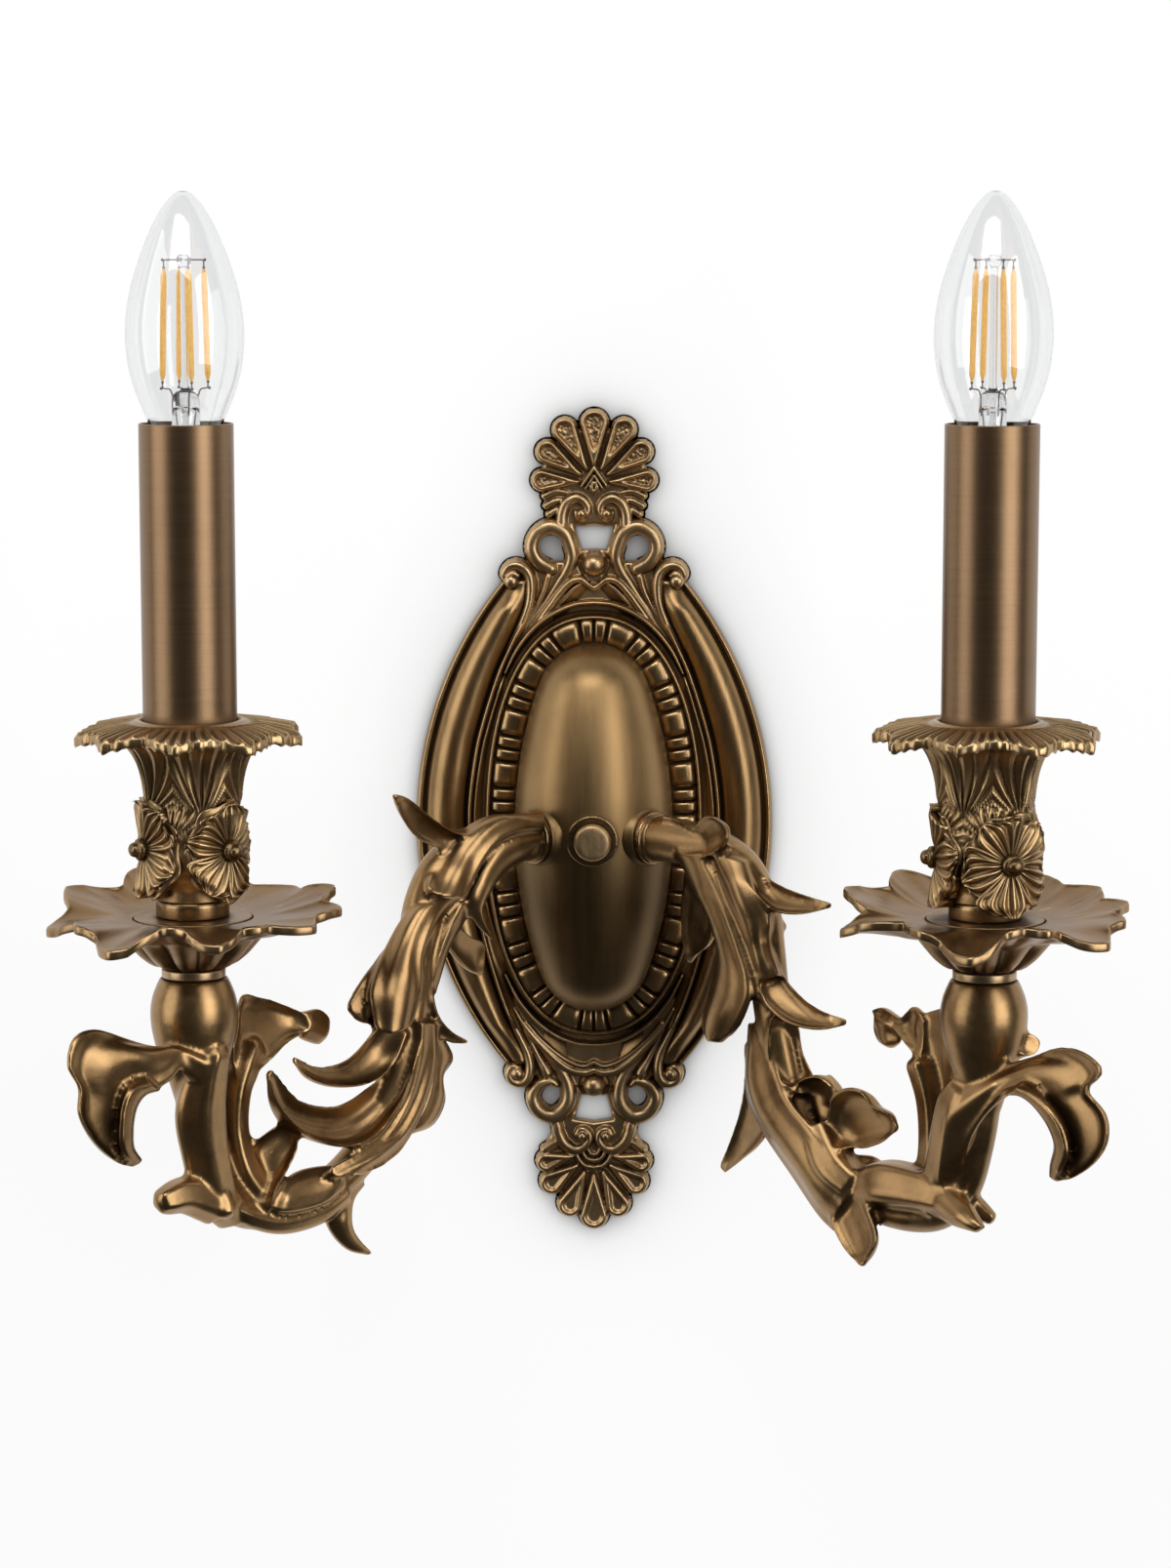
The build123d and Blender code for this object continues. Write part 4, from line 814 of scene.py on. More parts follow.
def top_crest():
    """The palmette, the loops and the fan of stems above the bead band."""
    relief = Relief(34.0, 48.0, 136.4, 0.34)
    relief.ground(17.4 - np.hypot(relief.side, relief.z - 112.5), 2.6)
    relief.ground(np.minimum(9.5 - relief.side, np.minimum(relief.z - 84, 104 - relief.z)), 2.4)
    relief.ground(np.minimum(29.5 - relief.side + np.clip(78 - relief.z, -30, 0) * 0.9,
                             np.minimum(relief.z - 52, 86.5 - relief.z)), 3.4)
    lobes = [((0, 117.6), (0.0, 131.0), 0.8, 4.7), ((2.5, 116.6), (9.6, 128.9), 0.8, 4.2),
             ((4.6, 114.8), (15.2, 121.8), 0.8, 4.0), ((5.4, 112.3), (16.9, 112.6), 0.8, 3.7)]
    speckle = np.zeros_like(relief.x)
    for root, tip, narrow, wide in lobes[::-1]:
        reach, hollow = relief.lobe(root, tip, narrow, wide, 3.0, 2.3, 1.25, 1.5, 0.25)
        speckle = np.where((reach > 0), hollow, speckle)
    grains = dice.random(relief.x.shape)
    grains = (grains + np.roll(grains, 1, 0) + np.roll(grains, 1, 1)) / 3
    relief.height = relief.height + (grains - 0.5) * 1.1 * speckle
    for line in ([(8.6, 108.6, 0.6), (12.5, 109.0, 1.0), (16.0, 107.5, 1.1)],
                 [(9.5, 106.2, 0.6), (12.5, 105.9, 1.0), (15.6, 104.3, 1.1)],
                 [(10.0, 104.0, 0.6), (12.3, 103.0, 1.0), (14.6, 101.6, 1.2)]):
        relief.wire(line, 3.0, 0.9, 0.9)
    relief.wire([(0, 116.6, 0.62), (1.9, 113.9, 0.62), (4.0, 110.9, 0.5)], 4.3, 1.1)
    relief.wire([(0, 114.2, 0.5), (1.3, 112.2, 0.5), (2.6, 110.2, 0.4)], 4.0, 1.1)
    relief.wire([(0, 112.0, 0.5), (0.9, 110.4, 0.7), (0, 108.6, 0.5)], 3.8, 1.0)
    relief.wire([(10.6, 98.6, 2.0), (10.3, 102.0, 1.9), (8.9, 105.3, 1.8), (6.0, 107.0, 1.65), (3.4, 105.9, 1.5),
                 (2.1, 103.4, 1.4), (3.1, 101.0, 1.35), (5.0, 100.7, 1.3), (5.6, 102.2, 1.2)], 3.2, 1.05)
    relief.ball(4.15, 101.9, 1.55, 4.6, 1.0)
    relief.wire([(14.2, 83.9, 2.2), (18.3, 86.4, 2.5), (20.2, 91.0, 2.6), (18.3, 95.6, 2.6), (14.2, 97.6, 2.6),
                 (10.1, 95.8, 2.5), (8.0, 91.8, 2.4), (7.2, 87.6, 2.1), (8.6, 83.4, 1.8), (11.2, 79.4, 1.5),
                 (14.6, 74.3, 1.2), (18.8, 68.4, 1.0), (24.2, 61.6, 0.8), (28.6, 54.5, 0.5)], 3.4, 1.0)
    relief.hole(3.5 - np.hypot(relief.side - 14.1, relief.z - 91.0))
    relief.ball(0, 85.3, 3.65, 4.3, 0.95)
    relief.groove([(0, 90.3, 0.6), (3.6, 88.6, 0.6), (4.7, 85.0, 0.6), (3.2, 81.9, 0.6)], 0.9)
    window = np.minimum(97.9 - 0.5 * np.exp(-((relief.side - 3.2) / 2.2) ** 2) - relief.z,
                        np.minimum(relief.z - 90.2 + 0.4 * (relief.side / 4) ** 2,
                                   3.9 + (relief.z - 90.2) * 0.32 - relief.side))
    relief.hole(window)
    relief.wire([(28.0, 80.4, 1.5), (29.2, 82.2, 1.7), (27.6, 84.7, 1.8), (24.8, 85.2, 1.9), (22.0, 83.4, 2.0),
                 (20.6, 79.7, 2.0), (21.0, 73.3, 1.75), (23.3, 66.8, 1.5), (26.7, 59.5, 1.25), (30.4, 51.3, 0.95),
                 (31.6, 48.5, 0.9)], 3.9, 1.6)
    relief.wire([(27.4, 81.6, 2.0), (26.2, 82.4, 1.6), (25.0, 81.8, 1.3)], 3.6, 1.4)
    relief.ball(26.9, 79.9, 2.5, 5.2, 0.95)
    relief.wire([(14.9, 81.4, 1.15), (16.3, 76.6, 1.0), (18.8, 71.5, 0.85), (21.5, 66.4, 0.7), (25.2, 60.0, 0.45)],
                3.7, 1.5)
    relief.wire([(0.0, 77.6, 1.0), (1.9, 78.8, 1.0), (4.3, 80.5, 1.15), (7.5, 79.8, 1.3), (10.7, 76.6, 1.35),
                 (14.4, 71.6, 1.3), (18.7, 65.9, 1.1), (23.5, 60.1, 0.9), (27.2, 54.6, 0.6)], 4.0, 1.5)
    relief.wire([(4.1, 79.2, 0.6), (6.9, 77.2, 0.8), (10.0, 74.0, 0.8), (14.0, 69.2, 0.5)], 4.0, 1.1)
    relief.wire([(0, 73.2, 0.85), (6.3, 72.5, 0.85), (12.8, 69.8, 0.85), (19.3, 65.0, 0.8), (25.0, 58.0, 0.7),
                 (29.1, 49.9, 0.6)], 4.8, 2.6)
    relief.height += 0.9 * (1 - ease(relief.z, 60, 80)) * (relief.inside > 0)
    relief.inside = np.minimum(relief.inside, relief.z - 49.0)
    return relief.piece("top_crest", crest_brass)


plate_sides()
frame_piece = band_frame()
band_beads()
dome_piece()
top_crest()
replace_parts(frame_piece, "backplate")


# ---------------------------------------------------------------- arms
# Leaves of each arm as two traced edges from root to tip. Points are (run from the dome along the arm's
# plane, height, out of that plane to the room). Then: belly of the leaf between its edges (hollow when
# negative), how far its rounded end reaches past the edges, thickness, raised lip and ribs along it.
LEFT_LEAVES = [([(29.3, 6.0, 3), (36.5, 5.9, 6), (45.9, 10.6, 7), (56.8, 18.3, 8), (62.6, 20.6, 9)],
                [(35.7, 0.3, 3), (42.5, 1.5, 3), (51.9, 5.8, 4), (59.2, 13.0, 6), (63.9, 19.4, 9)], -3, 1, 2.4, 0.7,
                0),
               ([(1.6, 8.4, 4), (13.1, 8.2, 3), (22.8, 7.7, 1), (31.7, 4.0, 0), (38.2, -1.2, -1), (44.5, -6.5, 2),
                 (49.4, -10.3, 6)],
                [(4.1, 3.3, 8), (14.3, 3.5, 8.5), (22.0, 1.5, 9), (27.7, -3.0, 9), (31.7, -8.3, 9),
                 (34.1, -11.8, 9), (36.2, -14.1, 9.5)], 4, 4, 2.6, 0.9, 0),
               ([(3.3, 2.5, 7), (13.1, 2.6, 7), (20.4, 0.2, 7), (25.7, -4.4, 7), (29.7, -9.7, 7), (32.6, -15.6, 6),
                 (29.4, -22.4, 5), (23.0, -29.9, 5)],
                [(-2.1, -4.6, 0), (7.4, -6.8, 0), (14.8, -9.9, 0), (20.5, -13.1, 1), (24.7, -17.6, 2),
                 (26.4, -21.1, 3), (25.2, -25.6, 4), (22.2, -30.3, 5)], 2.5, 0, 2.6, 0, 0),
               ([(36.0, -29.8, -3), (32.0, -34.3, -4), (24.8, -40.6, -6), (17.1, -44.4, -8)],
                [(30.3, -25.3, -3), (23.1, -30.3, -5), (15.8, -34.0, -7), (15.7, -43.9, -8)], -1.5, 0, 2.0, 0, 0),
               ([(43.8, -11.9, 0), (51.7, -18.8, -1), (58.9, -27.5, -1), (65.1, -35.4, 0), (70.0, -42.6, 3),
                 (71.0, -51.3, 7)],
                [(35.8, -15.5, 4), (43.8, -20.0, 6), (49.7, -26.7, 7.5), (52.0, -33.4, 7.5), (52.6, -42.2, 7.5),
                 (57.7, -51.4, 9)], 4.2, 3.5, 2.6, 0.9, 0),
               ([(35.8, -16.0, 5), (41.4, -23.5, 6), (45.4, -31.2, 6), (47.1, -38.8, 5), (47.5, -45.3, 4)],
                [(28.6, -18.7, 0), (31.1, -25.0, -1), (36.8, -31.3, -1), (40.8, -39.0, 0), (43.3, -45.4, 2)], 1.5,
                0, 2.4, 0.5, 0),
               ([(49.5, -42.0, 3), (48.4, -48.8, 1), (44.9, -57.4, 2), (38.5, -61.3, 4), (32.7, -62.4, 5)],
                [(46.7, -40.1, 5), (46.5, -46.4, 6), (43.2, -52.7, 5), (38.4, -57.8, 5), (32.2, -61.4, 5)], -1.8, 0,
                2.2, 0.6, 0),
               ([(59.6, -29.2, -1), (68.6, -37.8, -2), (75.3, -45.5, -1), (73.9, -49.1, 0)],
                [(54.6, -34.3, -2), (63.3, -41.1, -2), (64.9, -47.8, -2), (66.3, -51.2, -1)], 2, 2, 2.2, 0.4, 0),
               ([(63.9, -49.4, 3), (70.7, -56.9, 2), (80.0, -62.0, 3), (91.9, -61.9, 5), (101.1, -56.9, 7)],
                [(57.1, -55.4, 6), (63.5, -65.0, 6.5), (73.9, -69.2, 7.5), (85.9, -68.1, 8), (96.2, -64.0, 8),
                 (101.6, -58.9, 7)], -3, 0.5, 2.3, 0.7, 0),
               ([(56.5, -57.8, 3), (59.3, -67.3, 1), (69.0, -72.1, 1), (79.4, -75.6, 2), (89.3, -74.9, 4),
                 (101.1, -70.1, 6), (111.1, -59.2, 9)],
                [(52.0, -57.7, 7), (56.1, -67.5, 8), (62.3, -76.9, 9), (71.3, -85.1, 9.5), (81.3, -87.5, 10),
                 (91.7, -85.2, 10), (102.0, -79.5, 10), (110.1, -70.6, 10), (112.8, -61.5, 9)], -4.5, 0.5, 2.5, 0.9,
                2),
               ([(53.6, -52.3, 7), (54.7, -64.3, 7), (59.7, -76.8, 7), (69.1, -86.5, 8), (80.5, -89.8, 9),
                 (89.8, -92.7, 9)],
                [(42.2, -54.9, 0), (43.6, -68.6, 1), (50.2, -81.5, 3), (60.9, -91.3, 7), (70.5, -95.3, 10)], 2.0, 8,
                2.6, 0.9, 1),
               ([(43.1, -57.0, -3), (40.2, -69.9, -4), (43.6, -81.9, -4), (50.8, -89.7, -4)],
                [(34.8, -61.2, -6), (28.8, -69.5, -8), (33.2, -75.1, -8), (32.3, -83.3, -8), (37.0, -89.9, -8),
                 (46.8, -91.2, -6)], 1.5, 0.5, 2.0, 0.4, 0),
               ([(82.0, -103.8, -2), (85.7, -110.3, 0), (83.3, -117.0, 1), (77.8, -122.6, 2), (70.8, -125.1, 3)],
                [(70.4, -102.9, 1), (76.0, -107.5, 2), (76.6, -114.5, 2), (73.8, -119.8, 2), (69.8, -124.2, 3)],
                2.2, 0, 3.2, 0.2, 0),
               ([(113.4, -101.9, 4), (112.2, -93.3, 1), (112.2, -84.5, 0), (108.8, -79.7, 3), (105.1, -78.0, 5)],
                [(110.4, -103.1, 7), (109.6, -97.5, 8), (105.4, -92.2, 8), (100.6, -85.4, 7), (100.7, -80.4, 6)],
                -3.2, 1.2, 2.4, 0.8, 0),
               ([(81.8, -93.8, 5), (91.9, -93.5, 3), (99.2, -94.1, 3), (105.1, -96.4, 4), (109.0, -99.0, 5)],
                [(83.4, -101.0, 7), (90.5, -104.0, 8), (99.9, -105.1, 8), (107.1, -104.5, 8), (110.4, -102.7, 7)],
                2.0, 0, 2.4, 0.3, 0),
               ([(79.8, -102.0, 5), (88.0, -105.3, 6), (98.8, -106.9, 6.5), (108.1, -106.2, 6.5),
                 (116.9, -102.7, 6), (124.2, -99.1, 5)],
                [(79.3, -107.4, 0), (88.9, -111.1, 0), (97.3, -112.1, 0), (104.5, -111.5, 0), (112.7, -108.9, 0),
                 (121.5, -105.3, 1)], 2.2, 0, 2.6, 0.3, 0),
               ([(134.1, -49.4, 6), (142.7, -49.8, 4), (149.8, -49.4, 3), (162.0, -43.9, 4), (173.7, -39.0, 6),
                 (181.7, -40.2, 8), (184.5, -47.8, 9), (181.4, -54.6, 10), (182.4, -61.6, 11), (179.7, -68.3, 12),
                 (174.6, -74.4, 12), (168.3, -79.1, 11), (162.9, -81.2, 10)],
                [(138.9, -59.9, 9), (144.9, -54.8, 10), (148.8, -57.1, 10), (152.8, -58.5, 10), (156.3, -59.0, 9.5),
                 (158.7, -60.1, 9.5), (161.6, -63.1, 10), (162.8, -67.1, 10), (163.2, -71.1, 10),
                 (162.9, -75.3, 10), (161.8, -77.6, 10), (159.2, -79.7, 9.5)], "OUT", 0, 2.5, 0.9, 1),
               ([(152.8, -58.5, 10), (156.3, -59.0, 9.5), (158.7, -60.1, 9.5), (161.6, -63.1, 10),
                 (162.8, -67.1, 10), (163.2, -71.1, 10), (162.9, -75.3, 10), (159.2, -79.7, 9.5)],
                [(158.6, -55.2, 13), (164.7, -55.9, 13.5), (167.5, -58.3, 14), (169.0, -62.2, 14),
                 (169.6, -67.0, 14), (169.6, -72.0, 14), (167.5, -76.6, 13), (162.1, -80.7, 11)], 1.2, 0, 2.2, 0.3,
                0),
               ([(118.6, -52.8, -2), (114.9, -46.8, -4), (112.0, -38.5, -6), (104.7, -40.1, -7), (97.5, -42.7, -7),
                 (89.7, -46.7, -5), (88.9, -49.4, -4)],
                [(117.9, -62.9, -1), (112.4, -62.8, -1), (103.4, -58.4, -2), (97.5, -55.1, -3), (92.8, -53.2, -3),
                 (89.6, -51.7, -4)], -3, 0.6, 2.4, 0.7, 0),
               ([(90.2, -46.3, -5), (83.0, -46.3, -7), (77.8, -49.1, -9), (75.8, -52.4, -10)],
                [(89.9, -51.1, -4), (91.0, -54.1, -5), (85.0, -57.0, -8), (80.3, -58.5, -10)], 2, 0.8, 2.2, 0.4, 0)]
RIGHT_LEAVES = [([(10.0, 0.8, 5), (22.3, -2.5, 7), (29.4, -2.5, 8), (37.2, 0.9, 9), (40.4, 5.2, 9)],
                 [(8.3, 8.5, 3), (17.6, 7.4, 4), (24.0, 6.9, 5), (28.8, 10.1, 7), (33.5, 11.3, 8), (38.7, 9.5, 9)],
                 -2.5, 0.5, 2.4, 0.7, 0),
                ([(29.6, 4.4, 0), (37.9, -2.8, 0), (47.5, -7.6, 0), (59.7, -10.8, 0), (73.2, -12.9, -1)],
                 [(32.7, -2.5, 7), (43.2, -7.6, 8), (49.5, -12.1, 7), (55.1, -16.8, 5), (63.5, -17.3, 3),
                  (73.2, -14.7, -1)], -2.4, 0.5, 2.4, 0.8, 0),
                ([(48.0, -17.9, -2), (50.4, -20.0, -4), (51.7, -22.7, -6)],
                 [(49.0, -25.3, -2), (50.5, -25.6, -4), (51.4, -24.5, -6)], 1, 0.3, 2.2, 0.2, 0),
                ([(33.4, -1.9, 7), (38.3, -11.5, 7), (43.2, -21.6, 7), (47.3, -31.8, 7), (49.5, -40.0, 7)],
                 [(43.1, -2.9, 3), (50.4, -12.4, 6), (53.9, -19.7, 4), (53.1, -27.3, 3), (57.8, -37.3, 4)], 2.8, 0,
                 2.4, 0.4, 0),
                ([(52.2, -18.0, 2), (51.9, -27.7, 1), (55.3, -35.9, 1), (62.8, -42.9, 1), (71.6, -46.7, 1),
                  (80.3, -48.4, 0)],
                 [(50.5, -37.6, 8), (53.0, -43.7, 8), (57.4, -47.9, 8), (64.4, -51.4, 7), (72.7, -52.4, 4),
                  (80.4, -50.5, 0)], -2.2, 0.5, 2.4, 0.8, 0),
                ([(11.7, -1.5, 2), (20.6, -11.1, 0), (28.3, -21.0, 0), (30.9, -32.6, 0), (29.0, -45.6, 2),
                  (27.9, -56.1, 5), (31.0, -59.7, 7)],
                 [(29.0, -0.7, 7.5), (36.4, -10.5, 8), (42.4, -20.4, 8.5), (47.2, -30.5, 8.5), (50.1, -37.6, 8.5),
                  (50.5, -45.0, 9), (45.5, -54.7, 9), (39.6, -59.8, 9)], 4.2, 1.5, 2.6, 0.8, 0),
                ([(13.1, -9.0, -3), (8.9, -20.8, -6), (6.6, -32.4, -9), (7.5, -40.8, -10)],
                 [(23.8, -16.4, -2), (25.8, -23.9, -3), (22.2, -32.2, -5), (13.1, -37.7, -9), (9.2, -41.3, -10)],
                 -1.2, 0, 2.1, 0.4, 0),
                ([(55.2, -50.1, 6), (54.2, -59.9, 6), (56.3, -68.1, 6), (65.2, -72.7, 6)],
                 [(61.3, -53.5, -1), (63.2, -61.8, -1), (68.1, -68.5, 0), (67.6, -73.6, 2)], -3, 0, 2.2, 0.7, 0),
                ([(62.9, -75.0, 4), (65.1, -69.8, 4), (71.0, -66.7, 5), (76.0, -66.1, 6), (80.0, -68.7, 6)],
                 [(64.0, -78.4, 2), (68.4, -78.7, 0), (73.9, -76.4, 1), (79.2, -71.5, 4)], -1.8, 0.5, 2.2, 0.6, 0),
                ([(38.5, -60.5, -3), (37.4, -75.1, -4), (34.0, -85.3, -6), (28.0, -96.5, -8), (21.8, -106.4, -10)],
                 [(42.3, -76.9, -2), (47.1, -88.8, -3), (42.2, -95.4, -5), (33.6, -101.4, -8), (24.1, -108.1, -10)],
                 -1.4, 0, 2.2, 0.5, 0),
                ([(70.4, -86.7, 4), (76.9, -80.5, 3), (78.9, -73.1, 4), (85.1, -68.4, 6), (92.4, -67.6, 7),
                  (97.0, -71.5, 7), (102.8, -73.2, 7), (105.8, -76.4, 7)],
                 [(84.0, -88.5, 6), (85.6, -87.9, 3), (90.0, -87.3, 2), (95.4, -85.3, 3), (100.4, -82.9, 5),
                  (105.2, -79.1, 7)], -2.4, 0.8, 2.5, 0.8, 0),
                ([(85.1, -90.6, -1), (90.1, -90.8, -3), (95.2, -94.1, -5)],
                 [(90.5, -99.3, -1), (92.8, -97.1, -3), (95.2, -95.4, -5)], 1, 0.2, 2.2, 0.3, 0),
                ([(41.5, -55.0, -2), (41.2, -77.0, -1), (48.8, -88.6, 0), (61.4, -100.5, 1), (73.9, -111.0, 3),
                  (81.5, -114.6, 5)],
                 [(53.0, -54.0, 3), (62.5, -72.4, 6.5), (73.2, -81.4, 7.5), (81.2, -88.6, 7.5), (86.9, -95.0, 8),
                  (89.6, -100.9, 8)], 3.6, 0, 2.6, 0.4, 1),
                ([(79.1, -103.1, 6), (82.8, -110.6, 8), (88.5, -116.7, 10), (96.2, -121.3, 12)],
                 [(92.0, -98.3, 6), (97.0, -103.9, 8), (102.1, -112.7, 10), (98.0, -121.2, 12)], -1.5, 0.4, 2.6,
                 0.8, 0),
                ([(115.8, -99.2, 5), (127.0, -103.5, 8), (138.7, -104.1, 10)],
                 [(126.4, -93.5, 4), (134.7, -96.7, 7), (141.7, -101.7, 10)], 2.4, 0.5, 3.4, 0.2, 0),
                ([(117.5, -95.0, 1), (120.0, -84.0, 4), (122.5, -72.0, 6), (124.9, -61.6, 7), (131.5, -56.9, 5),
                  (143.6, -53.4, 3), (154.5, -49.8, 3), (165.5, -45.2, 5), (175.2, -44.5, 7), (182.9, -47.8, 9),
                  (181.6, -51.3, 10), (178.1, -54.5, 10), (185.6, -60.4, 11), (187.2, -68.0, 12),
                  (182.9, -75.1, 12), (174.6, -81.2, 11), (167.6, -83.7, 10)],
                 [(125.5, -95.0, 1), (130.5, -86.0, 4.5), (134.6, -77.1, 7), (140.1, -68.9, 8), (146.9, -61.6, 9),
                  (153.6, -58.9, 10), (158.5, -60.7, 10), (163.4, -65.0, 10), (166.5, -69.6, 10),
                  (167.4, -73.4, 10), (165.9, -78.7, 10), (165.2, -82.4, 10)], "OUT", 0, 2.5, 0.9, 1),
                ([(109.0, -92.0, -2), (113.0, -81.0, -3), (111.5, -67.0, -4), (108.3, -55.0, -4),
                  (105.0, -49.0, -4.5), (106.0, -44.5, -5)],
                 [(115.0, -94.0, -1), (118.5, -81.0, -1), (121.0, -67.0, -1), (123.0, -53.0, -1),
                  (124.0, -45.0, -1), (124.0, -38.5, -1)], -2.2, 1.0, 3.0, 0.4, 0),
                ([(148.1, -60.4, 9), (153.6, -58.9, 10), (158.5, -60.7, 10), (163.4, -65.0, 10), (166.5, -69.6, 10),
                  (167.4, -73.4, 10), (165.9, -78.7, 10), (165.2, -82.7, 10)],
                 [(155.0, -56.3, 12), (161.2, -57.3, 13), (167.4, -60.7, 14), (171.6, -65.1, 14),
                  (173.8, -69.7, 14), (174.3, -73.7, 14), (171.8, -78.7, 13), (168.3, -83.0, 11)], 1.2, 0, 2.2, 0.3,
                 0),
                ([(142.3, -49.9, -3), (143.8, -46.1, -5), (145.4, -45.2, -7), (146.9, -46.7, -9)],
                 [(145.4, -51.5, -3), (146.3, -51.5, -6), (146.9, -50.6, -8), (147.3, -48.9, -9)], -0.8, 0.3, 2.1,
                 0.4, 0),
                ([(108.8, -45.4, -4), (103.7, -42.0, -5), (98.3, -46.3, -6), (93.6, -45.8, -7), (88.1, -45.0, -9),
                  (83.2, -46.6, -10)],
                 [(109.2, -58.6, -2), (102.9, -54.4, -3), (97.8, -51.8, -5), (93.0, -50.1, -7), (88.2, -50.0, -9),
                  (84.4, -50.1, -10)], -2.4, 0.4, 2.4, 0.7, 0),
                ([(85.5, -47.4, -9), (84.4, -51.9, -10), (86.2, -55.7, -10), (90.5, -57.3, -9)],
                 [(93.6, -48.4, -7), (95.9, -51.4, -8), (96.2, -54.6, -8), (93.1, -56.9, -9)], 1.6, 0.3, 2.1, 0.4,
                 0)]

# Round stems and nubs of each arm: (run, height, out, radius).
LEFT_TUBES = [[(120.1, -104.4, -1, 5.5), (128.1, -95.7, 2, 6.6), (132.6, -81.2, 3, 7.2), (134.6, -69.0, 4, 7.6),
               (134.0, -57.6, 7, 6.2), (133.0, -50.2, 10, 4.6), (132.8, -47.4, 10.5, 2.8)],
              [(107.2, -102.7, 1, 4.5), (114.6, -91.6, -1, 4.6), (116.8, -79.6, -3, 4.3), (116.1, -67.7, -3, 4.4),
               (112.7, -59.9, -4, 5.0), (107.3, -52.2, -5, 3.4)],
              [(128.9, -98.8, 3, 6.5), (139.5, -94.5, 4, 5.6), (147.1, -94.6, 5, 4.4), (151.2, -95.1, 5.5, 3.0)],
              [(129.2, -96.6, 5, 4.8), (128.4, -100.0, 8, 3.2), (128.8, -101.7, 10, 1.8)]]
RIGHT_TUBES = [[(116.0, -102.0, 1, 5.8), (120.4, -90.7, 2, 6.0), (124.8, -78.1, 4, 6.4), (128.5, -67.1, 5, 6.6),
                (131.6, -60.4, 5, 5.2)],
               [(105.5, -106.0, 0, 4.6), (110.6, -96.6, -1, 4.6), (112.4, -86.2, -3, 4.4), (111.0, -70.3, -4, 4.6),
                (106.0, -56.5, -4, 4.8)],
               [(90.0, -100.0, 2, 6.0), (98.3, -97.5, 2, 7.8), (110.0, -97.0, 2, 7.4), (120.0, -97.2, 3, 6.4),
                (127.0, -98.6, 5, 4.8), (133.5, -102.4, 8, 2.4)],
               [(68.0, -70.0, -3, 3.8), (71.5, -74.5, -3, 5.0), (75.5, -81.0, -2, 5.4)],
               [(123.9, -96.9, -1, 4.2), (130.1, -100.9, -3, 3.2), (135.1, -103.7, -4, 1.9)],
               [(72.2, -83.4, 3, 5.5), (79.8, -93.7, 4, 6.5), (89.1, -99.7, 4, 5.5)]]

ARM_LINE = [(0, 0), (14, 0), (27, -0.8), (39, -6), (46, -17), (48.5, -30), (50.5, -44), (53.5, -58), (58.5, -74),
            (66, -88), (78, -98.5), (92, -104.5), (106, -106), (118, -103), (126, -94), (130, -80), (132, -66),
            (133.1, -54)]
ARM_SIZES = [7.4, 7.2, 6.6, 6.3, 6.2, 6.1, 6.0, 6.0, 6.0, 6.0, 5.8, 5.4, 5.2, 5.4, 5.8, 6.2, 6.6, 6.6]
VASE = [(0.0, -76.0), (2.6, -75.0), (4.4, -72.0), (6.0, -67.5), (7.9, -61.0), (10.4, -54.5), (12.0, -49.0),
        (12.9, -44.5), (13.2, -41.0), (13.1, -37.8), (12.4, -34.4), (11.2, -31.4), (10.3, -29.5), (9.9, -29.1),
        (9.5, -29.0), (0.0, -29.0)]


ARM_FILLET = 1.1
ARM_TRIANGLES = 190000


def arm_points(side, points):
    """Points (run, height, out) of an arm's own frame, in the shared frame."""
    run, rise, out = np.moveaxis(np.asarray(points, dtype=float), -1, 0)
    x = side * (SEAT_X + run * math.cos(ARM_TURN) - out * math.sin(ARM_TURN))
    y = SEAT_Y - run * math.sin(ARM_TURN) - out * math.cos(ARM_TURN)
    return np.stack([x, y, rise], axis=-1)


def even_line(points, count):
    """A smooth line through points, resampled to evenly spaced ones."""
    line = smooth_line(points, 14)
    length = np.concatenate([[0], np.cumsum(np.linalg.norm(np.diff(line[:, :3], axis=0), axis=1))])
    want = np.linspace(0, length[-1], count)
    return np.stack([np.interp(want, length, line[:, k]) for k in range(line.shape[1])], axis=-1)


def unit(vectors):
    """The same directions, one long."""
    return vectors / (np.linalg.norm(vectors, axis=-1, keepdims=True) + 1e-9)


